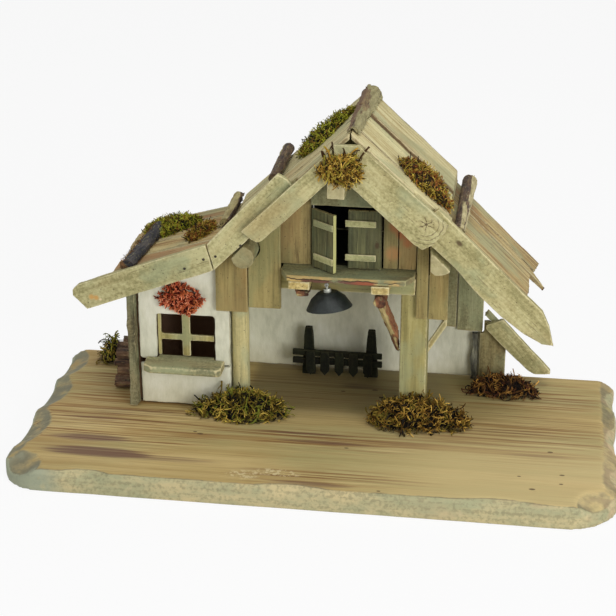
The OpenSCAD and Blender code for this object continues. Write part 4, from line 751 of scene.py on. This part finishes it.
def pushIn(ob, axes, texture, reach, depth, level=1):
    # Displaces along the normals by a texture that is stretched along the grain
    turn = Matrix([list(a) for a in axes]).transposed().to_4x4()
    grainGuide.matrix_world = turn @ Matrix.Diagonal((*reach, 1))
    grainGuide.location += Vector(rng.uniform(-1, 1, 3))
    bpy.context.view_layer.update()
    applyModifier(ob, "DISPLACE", texture=texture, texture_coords="OBJECT", texture_coords_object=grainGuide,
                  strength=depth, mid_level=level)


# What a board has where its own dictionary doesn't say; a reach is along, across and through it, in metres
plainBoard = {"grain": None, "ease": 2, "waveReach": (0.03, 0.009, 0.009),
              "ridgeReach": (0.014, 0.0016, 0.0016), "ridgeLevel": 0.8}


def roughen(node, material, own):
    # A remeshed copy of a node, pushed in by the two noises, with what its finish reads kept in attributes
    look = {**plainBoard, **own}
    boards = []
    for ob in loosePieces(node):
        axes, centre, half = boardAxes(ob, look["grain"])
        applyModifier(ob, "REMESH", mode="VOXEL", voxel_size=look["cell"], use_smooth_shade=True)
        applyModifier(ob, "SMOOTH", factor=0.5, iterations=look["ease"])
        pushIn(ob, axes, hewnWaves, look["waveReach"], look["wave"])
        pushIn(ob, axes, grainRidges, look["ridgeReach"], look["ridge"], look["ridgeLevel"])
        inBox = np.clip(readPoints(ob.data), cadBox[0], cadBox[1])
        ob.data.vertices.foreach_set("co", inBox.ravel())
        local = inBox @ axes.T - centre
        writeLayer(ob.data, "grain", local + rng.uniform(0, 3, 3))
        writeLayer(ob.data, "place", np.clip(local / half, -1, 1))
        writeLayer(ob.data, "tint", np.tile(rng.uniform(0, 1, 3), (len(local), 1)))
        writeLayer(ob.data, "wear", edgeWear(ob.data, look["cell"]))
        boards.append(ob)
    piece = joinAll(boards, node + "_worn")
    dressAs(piece, material, node)
    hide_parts(node)


upright = (0, 0, 1)

# Boards along the front edge of the roof
bargeboards = {"cell": 0.9 * mm, "wave": 0.9 * mm, "ridge": 0.35 * mm}
for node, finish in (("bargeboard_annex", annexBargeWood), ("bargeboard_left_middle", hewnWood),
                     ("bargeboard_left_upper", hewnWood), ("bargeboard_right_upper", knottyWood),
                     ("bargeboard_right_lower", hewnWood)):
    roughen(node, finish, bargeboards)

# Nail heads in those boards, X and Z in millimetres
nails = {"radius": 1.1 * mm, "depth": 2.4 * mm, "middle": -12.9 * mm, "rim": 0.35 * mm,
         "places": [(-112.3, 160.8), (-96.1, 169.8), (-85.9, 173.0), (-64.8, 183.9)]}


def nailHeads(look):
    bpy.ops.mesh.primitive_cylinder_add(vertices=12, radius=look["radius"], depth=look["depth"],
                                        location=(0, look["middle"], 0), rotation=(math.radians(90), 0, 0))
    first = bpy.context.object
    bpy.ops.object.transform_apply(location=True, rotation=True, scale=True)
    applyModifier(first, "BEVEL", width=look["rim"], segments=2, limit_method="ANGLE")
    heads = []
    for x, z in look["places"]:
        head = addObject("nail", first.data.copy())
        head.data.transform(Matrix.Translation((x * mm, 0, z * mm)))
        heads.append(head)
    bpy.data.objects.remove(first)
    dressAs(joinAll(heads, "bargeboard_nails"), nailMetal, "bargeboard_annex")


nailHeads(nails)
print("bargeboards hewn and nailed")

roofPlanks = {"cell": 1.1 * mm, "wave": 1.0 * mm, "ridge": 0.55 * mm, "ridgeReach": (0.02, 0.0022, 0.0022)}
for node, finish in (("roof_planks_left", plankWood), ("roof_planks_annex", brownPlankWood),
                     ("roof_planks_right_upper", plankWood), ("roof_planks_right_lower", brownPlankWood)):
    roughen(node, finish, roofPlanks)
roughen("lean_to_planks", hewnWood, roofPlanks)
print("roof planks split")

posts = {"cell": 1.0 * mm, "wave": 0.6 * mm, "ridge": 0.3 * mm, "grain": upright}
for node, finish in (("annex_post", roundPostWood), ("centre_post", postWood), ("lean_to_post", leanPostWood),
                     ("rear_cladding", claddingWood)):
    roughen(node, finish, posts)
cornerPost = {**posts, "wave": 1.4 * mm, "ridge": 0.8 * mm, "waveReach": (0.01, 0.006, 0.006)}
roughen("left_corner_post", roughPostWood, cornerPost)
lintels = {"cell": 0.9 * mm, "wave": 0.6 * mm, "ridge": 0.35 * mm}
for node, finish in (("lintel", postWood), ("square_brace", postWood), ("balcony_board", balconyWood),
                     ("window_sill", sillWood)):
    roughen(node, finish, lintels)
# The loft floor takes the near-black rack finish: painted shade for the unlit loft behind the doors
roughen("loft_floor", rackAndLoftShadeWood, {"cell": 2 * mm, "wave": 0.3 * mm, "ridge": 0.2 * mm})
roughen("joist_ends", joistWood, {**lintels, "grain": (0, 1, 0)})
beams = {"cell": 1.1 * mm, "wave": 0.9 * mm, "ridge": 0.6 * mm, "grain": (0, 1, 0),
         "waveReach": (0.012, 0.006, 0.006)}
for node, finish in (("ridge_beam", beamWood), ("left_beam", leftBeamWood), ("right_beam", beamWood)):
    roughen(node, finish, beams)
print("posts and beams squared")

gableBoards = {"cell": 0.9 * mm, "wave": 0.5 * mm, "ridge": 0.3 * mm, "grain": upright}
for node, finish in (("hanging_boards_left", tanWood), ("hanging_boards_right", tanWood),
                     ("gable_board_left", gableWood), ("gable_boards_right", gableWood),
                     ("head_boards", headWood)):
    roughen(node, finish, gableBoards)
print("gable boarded")

windowCross = {"cell": 0.7 * mm, "wave": 0.3 * mm, "ridge": 0.2 * mm}
roughen("window_cross", postWood, windowCross)
leaves = {"cell": 0.55 * mm, "wave": 0.3 * mm, "ridge": 0.25 * mm, "ridgeReach": (0.012, 0.0012, 0.0012),
          "grain": upright, "ease": 1}
battens = {"cell": 0.5 * mm, "wave": 0.3 * mm, "ridge": 0.2 * mm, "ease": 1}
for side in ("left", "right"):
    roughen(side + "_shutter_boards", openLeafWood if side == "left" else leafWood, leaves)
    roughen(side + "_shutter_battens", battenWood, battens)
rack = {"cell": 0.7 * mm, "wave": 0.5 * mm, "ridge": 0.3 * mm}
for node in ("hay_rack_ends", "hay_rack_pickets"):
    roughen(node, rackAndLoftShadeWood, {**rack, "grain": upright})
roughen("hay_rack_rails", rackAndLoftShadeWood, rack)
print("shutters, window and rack made")

bark = {"cell": 0.7 * mm, "wave": 0.9 * mm, "ridge": 1.4 * mm, "waveReach": (0.012, 0.006, 0.006),
        "ridgeReach": (0.006, 0.0024, 0.0024), "ease": 1, "ridgeLevel": 1}
for node, finish in (("ridge_pole", ridgeBark), ("right_pole", rightBark), ("valley_pole", valleyBark),
                     ("left_slope_pole", slopeBark), ("eave_pole", eaveBark), ("bark_brace", redBark),
                     ("left_joist_log", redBark), ("log_pile", logBark)):
    roughen(node, finish, bark)
roughen("rear_corner_strip", stripBark, {**bark, "grain": upright})
print("poles and logs in their bark")

walls = {"cell": 1.3 * mm, "wave": 1.0 * mm, "ridge": 0.5 * mm, "waveReach": (0.012, 0.012, 0.012),
         "ridgeReach": (0.003, 0.003, 0.003), "ease": 1}
for node in ("annex_upper_wall", "annex_lower_wall", "annex_side_wall", "annex_partition"):
    roughen(node, plaster, walls)
roughen("rear_wall", plaster, {**walls, "cell": 1.9 * mm})
print("walls plastered")

baseBoard = {"cell": 1.7 * mm, "ease": 3, "wave": 0.5 * mm, "waveReach": (0.05, 0.014, 0.014),
             "ridge": 0.22 * mm, "ridgeReach": (0.05, 0.0022, 0.0022), "ridgeLevel": 0.8}


def hewBase(look):
    ob = loosePieces("base_board")[0]
    axes, centre = boardAxes(ob, (1, 0, 0))[:2]
    applyModifier(ob, "REMESH", mode="VOXEL", voxel_size=look["cell"], use_smooth_shade=True)
    applyModifier(ob, "SMOOTH", factor=0.5, iterations=look["ease"])
    mesh = ob.data
    tilt = 1 - abs(readPoints(mesh, "normal")[:, 2])
    pushIn(ob, axes, hewnWaves, look["waveReach"], look["wave"])
    pushIn(ob, axes, grainRidges, look["ridgeReach"], look["ridge"], look["ridgeLevel"])
    writeLayer(mesh, "grain", readPoints(mesh) @ axes.T - centre)
    writeLayer(mesh, "slope", tilt)
    ob.name = mesh.name = "hewn_base"
    dressAs(ob, baseWood, "base_board")
    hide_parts("base_board")


hewBase(baseBoard)
print("base hewn")


# Moss and lichen: three kinds of sprig are modelled, and bent copies of them grow on each mound
def makeSprig(look):
    bpy.ops.mesh.primitive_cone_add(vertices=3, radius1=look["stem"], radius2=look["stem"] * look["taper"],
                                    depth=1, location=(0, 0, 0.5), end_fill_type="NGON")
    ob = bpy.context.object
    bpy.ops.object.mode_set(mode="EDIT")
    for k in range(1, look["segments"]):
        bpy.ops.mesh.select_all(action="SELECT")
        bpy.ops.mesh.bisect(plane_co=(0, 0, k / look["segments"]), plane_no=(0, 0, 1))
    lean = math.radians(look["lean"])
    for k in range(look["leaves"]):
        rise = 0.12 + 0.85 * k / look["leaves"]
        turn = k * 2.4      # radians from one leaf to the next
        out = Vector((math.sin(lean) * math.cos(turn), math.sin(lean) * math.sin(turn), math.cos(lean)))
        bpy.ops.mesh.primitive_cone_add(
            vertices=3, radius1=look["stem"] * 0.9, radius2=look["stem"] * look["leafTip"],
            depth=look["leaf"], location=Vector((0, 0, rise)) + out * look["leaf"] / 2,
            rotation=(0, lean, turn), end_fill_type="NGON")
    bpy.ops.object.mode_set(mode="OBJECT")
    points = readPoints(ob.data)
    ob.data.calc_loop_triangles()
    faces = np.array([t.vertices for t in ob.data.loop_triangles])
    bpy.data.objects.remove(ob)
    return points, faces


leafySprig = makeSprig({"segments": 4, "stem": 0.05, "taper": 0.4, "leaves": 8, "leaf": 0.26, "lean": 50,
                        "leafTip": 0.1})
curlStrand = makeSprig({"segments": 7, "stem": 0.036, "taper": 0.5, "leaves": 2, "leaf": 0.3, "lean": 40,
                        "leafTip": 0.4})
lichenSprig = makeSprig({"segments": 2, "stem": 0.12, "taper": 0.5, "leaves": 5, "leaf": 0.42, "lean": 38,
                         "leafTip": 0.7})


def spotsOn(ob, count):
    # Places on the surface of a mound, spread by the area of its faces
    mesh = ob.data
    mesh.calc_loop_triangles()
    points = readPoints(mesh)
    corners = points[np.array([t.vertices for t in mesh.loop_triangles])]
    cross = np.cross(corners[:, 1] - corners[:, 0], corners[:, 2] - corners[:, 0])
    area = np.linalg.norm(cross, axis=1)
    normals = cross / np.maximum(area, 1e-12)[:, None]
    chosen = rng.choice(len(area), count, p=area / area.sum())
    a, b = rng.uniform(0, 1, (2, count, 1))
    flip = (a + b) > 1
    a, b = np.where(flip, 1 - a, a), np.where(flip, 1 - b, b)
    c = corners[chosen]
    return c[:, 0] + a * (c[:, 1] - c[:, 0]) + b * (c[:, 2] - c[:, 0]), normals[chosen]


# What a growth has where its own dictionary doesn't say: the share that is rooted, and a tone of 0 is dark
plainGrowth = {"droop": (0, 0, 0), "root": 0.12, "tone": 1, "floor": 0, "least": 20}


def growOn(mound, sprig, own):
    # Bent, turned copies of a sprig, rooted in the surface of a mound
    look = {**plainGrowth, **own}
    places, normals = spotsOn(mound, look["count"])
    if "back" in look:      # nothing grows out of the side that lies on something
        keep = normals @ np.array(look["back"]) < 0.3
        places, normals = places[keep], normals[keep]
    count = len(places)
    base, faces = sprig
    ways = normals * look["rise"] + rng.normal(0, look["spread"], (count, 3)) + np.array(look["droop"])
    ways = ways / np.linalg.norm(ways, axis=1)[:, None]
    sideways = np.cross(ways, rng.normal(0, 1, (count, 3)))
    sideways = sideways / np.linalg.norm(sideways, axis=1)[:, None]
    third = np.cross(ways, sideways)
    length = rng.uniform(*look["length"], count)
    bend = rng.uniform(*look["bend"], count)
    # Each point's height on the sprig turns it a little further over
    z = base[None, :, 2]
    turn = bend[:, None] * z
    radius = 1 / np.maximum(bend, 1e-3)[:, None]
    x = base[None, :, 0] * np.cos(turn) + radius * (1 - np.cos(turn))
    up = radius * np.sin(turn) - base[None, :, 0] * np.sin(turn)
    y = np.broadcast_to(base[None, :, 1], x.shape)
    bent = (x[..., None] * sideways[:, None, :] + y[..., None] * third[:, None, :]
            + up[..., None] * ways[:, None, :])
    size = length[:, None, None]
    points = places[:, None, :] - look["root"] * size * ways[:, None, :] + size * bent
    inset = 0.2 * mm        # no strand reaches past the CAD box or into the base board
    points = np.clip(points, np.array(cadBox[0]) + inset, np.array(cadBox[1]) - inset)
    points[..., 2] = np.maximum(points[..., 2], look["floor"])
    tone = rng.uniform(0, 1, count) * look["tone"]
    strand = np.stack([np.broadcast_to(np.clip(z, 0, 1) * look["tone"], x.shape),
                       np.broadcast_to(tone[:, None], x.shape),
                       np.broadcast_to(rng.uniform(0, 1, count)[:, None], x.shape)], -1)
    allFaces = (faces[None] + (np.arange(count) * len(base))[:, None, None]).reshape(-1, 3)
    mesh = bpy.data.meshes.new("sprigs")
    mesh.from_pydata(points.reshape(-1, 3).tolist(), [], allFaces.tolist())
    writeLayer(mesh, "strand", strand.reshape(-1, 3))
    return addObject("sprigs", mesh)


fullMound = 0.07 * 0.04     # square metres that a growth's count is for
rootTone = (0.02, 0.2, 0.2)
sinkReach = (0.005, 0.005, 0.005)


def clump(name, node, parts, growths, material, look):
    # Every mound gets its strands, and is then sunk a little so that it is only the dark root between them
    grown = []
    for ob in parts:
        points = readPoints(ob.data)
        share = float(np.prod(np.sort(points.max(0) - points.min(0))[1:])) / fullMound
        for sprig, habit in growths:
            each = {**plainGrowth, **look, **habit}
            each["count"] = max(each["least"], int(each["count"] * share))
            grown.append(growOn(ob, sprig, each))
        applyModifier(ob, "REMESH", mode="VOXEL", voxel_size=look["cell"])
        pushIn(ob, np.eye(3), hewnWaves, sinkReach, look["sink"])
        applyModifier(ob, "REMESH", mode="VOXEL", voxel_size=look["cell"])
        writeLayer(ob.data, "strand", np.tile(rootTone, (len(ob.data.vertices), 1)))
        grown.append(ob)
    piece = joinAll(grown, name)
    dressAs(piece, material, node)
    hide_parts(node)


leafy = {"count": 110, "length": (7 * mm, 12 * mm), "bend": (0.8, 2.6), "rise": 0.7, "spread": 0.6}
curly = {"count": 640, "length": (8 * mm, 20 * mm), "bend": (2.4, 6.4), "rise": 0.5, "spread": 0.6}
wispy = {"count": 46, "length": (15 * mm, 27 * mm), "bend": (0.6, 2.2), "rise": 0.4, "spread": 0.55,
         "least": 5}
twiggy = {"count": 7, "length": (14 * mm, 20 * mm), "bend": (0.1, 0.5), "rise": 0.9, "spread": 0.4,
          "least": 3, "tone": 0}
mossLook = {"cell": 1.6 * mm, "sink": 8 * mm, "back": (0, 0, -1), "floor": 20.3 * mm}
groundGrowths = [(leafySprig, leafy), (curlStrand, curly), (curlStrand, wispy), (curlStrand, twiggy)]
# Mounds on the board, by the stretch of X that their middle lies in
groundMounds = {"moss_by_post": (0.03, 0.12, mossPost), "moss_by_annex": (-0.15, 0.03, mossGround),
                "moss_by_lean_to": (0.12, 0.3, mossBack), "moss_by_logs": (-0.3, -0.15, mossGround)}
mounds = [(readPoints(ob.data)[:, 0].mean(), ob) for ob in loosePieces("ground_moss")]
for name, (left, right, finish) in groundMounds.items():
    parts = [ob for middle, ob in mounds if left < middle <= right]
    clump(name, "ground_moss", parts, groundGrowths, finish, mossLook)

# On the roof the strands are shorter, and those over the door trail down the gable
roofLook = {"cell": 1.2 * mm, "sink": 3.4 * mm}
trailing = {**wispy, "count": 90, "least": 30, "length": (16 * mm, 30 * mm), "droop": (-0.1, -0.2, -1.1),
            "back": (0.9, 0, 0.9)}
roofGrowths = [(leafySprig, {**leafy, "length": (5 * mm, 9 * mm), "count": 420}),
               (curlStrand, {**curly, "length": (7 * mm, 13 * mm)})]
for k, ob in enumerate(loosePieces("roof_moss")):
    x, y = readPoints(ob.data).mean(0)[:2]
    finish, growths = mossGreen, roofGrowths
    if y < -0.012:      # over the door
        finish, growths = mossGold, roofGrowths + [(curlStrand, trailing)]
    elif x > 0.03 or -0.12 < x < -0.08:     # right slope, and the smaller one on the annex
        finish, growths = mossMixed, roofGrowths + [(curlStrand, twiggy)]
    clump("roof_moss_%d" % k, "roof_moss", [ob], growths, finish, roofLook)
print("moss grown")

# Corky strands on the outer side of the eave pole
corky = {"count": 620, "length": (2.5 * mm, 5.5 * mm), "bend": (1, 4), "rise": 0.6, "spread": 0.5,
         "back": (0.8, 0, 0.35)}
pole = loosePieces("eave_pole")[0]
fringe = growOn(pole, curlStrand, corky)
bpy.data.objects.remove(pole)
fringe.name = fringe.data.name = "eave_pole_cork"
dressAs(fringe, corkyStrand, "eave_pole")

lichenLook = {"cell": 1.0 * mm, "sink": 3 * mm, "back": (0, 1, 0)}
branched = {"count": 1100, "length": (2.6 * mm, 6.4 * mm), "bend": (0.1, 0.8), "rise": 0.8, "spread": 0.5}
clump("red_lichen", "wall_lichen", loosePieces("wall_lichen"), [(lichenSprig, branched)],
      lichenRed, lichenLook)
print("lichen grown")


# Lamp: smooth, merged copies; the wires keep their own meshes
def smoothCopy(node, material, rim):
    ob = joinAll(loosePieces(node), node + "_smooth")
    applyModifier(ob, "BEVEL", width=rim, segments=2, limit_method="ANGLE", angle_limit=math.radians(35))
    bpy.ops.object.shade_smooth_by_angle(angle=math.radians(50))
    dressAs(ob, material, node)
    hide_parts(node)


smoothCopy("lamp_shade", shadeMetal, 0.25 * mm)
smoothCopy("lamp_socket", fittingMetal, 0.2 * mm)
for node in ("lamp_hook", "left_hinge_pin", "right_hinge_pin"):
    frame["nodes"][node].data.materials.clear()
    frame["nodes"][node].data.materials.append(wireMetal)
bpy.data.objects.remove(grainGuide)
print("lamp and wires finished")

# Floor, world and lamps
studio = {"floorSize": 8, "floor": 0.86, "floorRough": 0.9, "floorGlow": 0.88,
          "world": 0.3, "aim": (0, 0, 0.1),
          "key": 36, "keyPlace": (1.75, -2.0, 0.78), "keySize": 1.2,
          "top": 24, "topPlace": (0.3, -0.5, 2.4), "topSize": 1.6,
          "fill": 6, "fillPlace": (-1.3, -2.2, 0.9), "fillSize": 1.4}
bpy.ops.mesh.primitive_plane_add(size=studio["floorSize"], location=(0, 0, 0))
floor = bpy.context.object
floor.name = "studio_floor"
paleFloor = Finish("paleFloor")
paleFloor.shader.inputs["Base Color"].default_value = grey(studio["floor"])
paleFloor.shader.inputs["Roughness"].default_value = studio["floorRough"]
glow = paleFloor.node("ShaderNodeEmission", values={"Color": grey(1), "Strength": 1})
paleFloor.seenPale(glow, studio["floorGlow"])
floor.data.materials.append(paleFloor.owner)

sky = Finish("softStudio", world=True)
sky.shader.inputs["Color"].default_value = grey(1)
sky.shader.inputs["Strength"].default_value = studio["world"]
sky.seenPale(sky.node("ShaderNodeBackground", values={"Color": grey(1), "Strength": 1}), 1)
bpy.context.scene.world = sky.owner


def softLamp(name, place, size, power):
    bpy.ops.object.light_add(type="AREA", location=place)
    lamp = bpy.context.object
    lamp.name = name
    lamp.data.size = size
    lamp.data.energy = power
    lamp.rotation_euler = (Vector(studio["aim"]) - Vector(place)).to_track_quat("-Z", "Y").to_euler()


for name in ("key", "top", "fill"):
    softLamp(name + "Lamp", studio[name + "Place"], studio[name + "Size"], studio[name])
bpy.context.scene.view_settings.view_transform = "Standard"
print("stage lit")
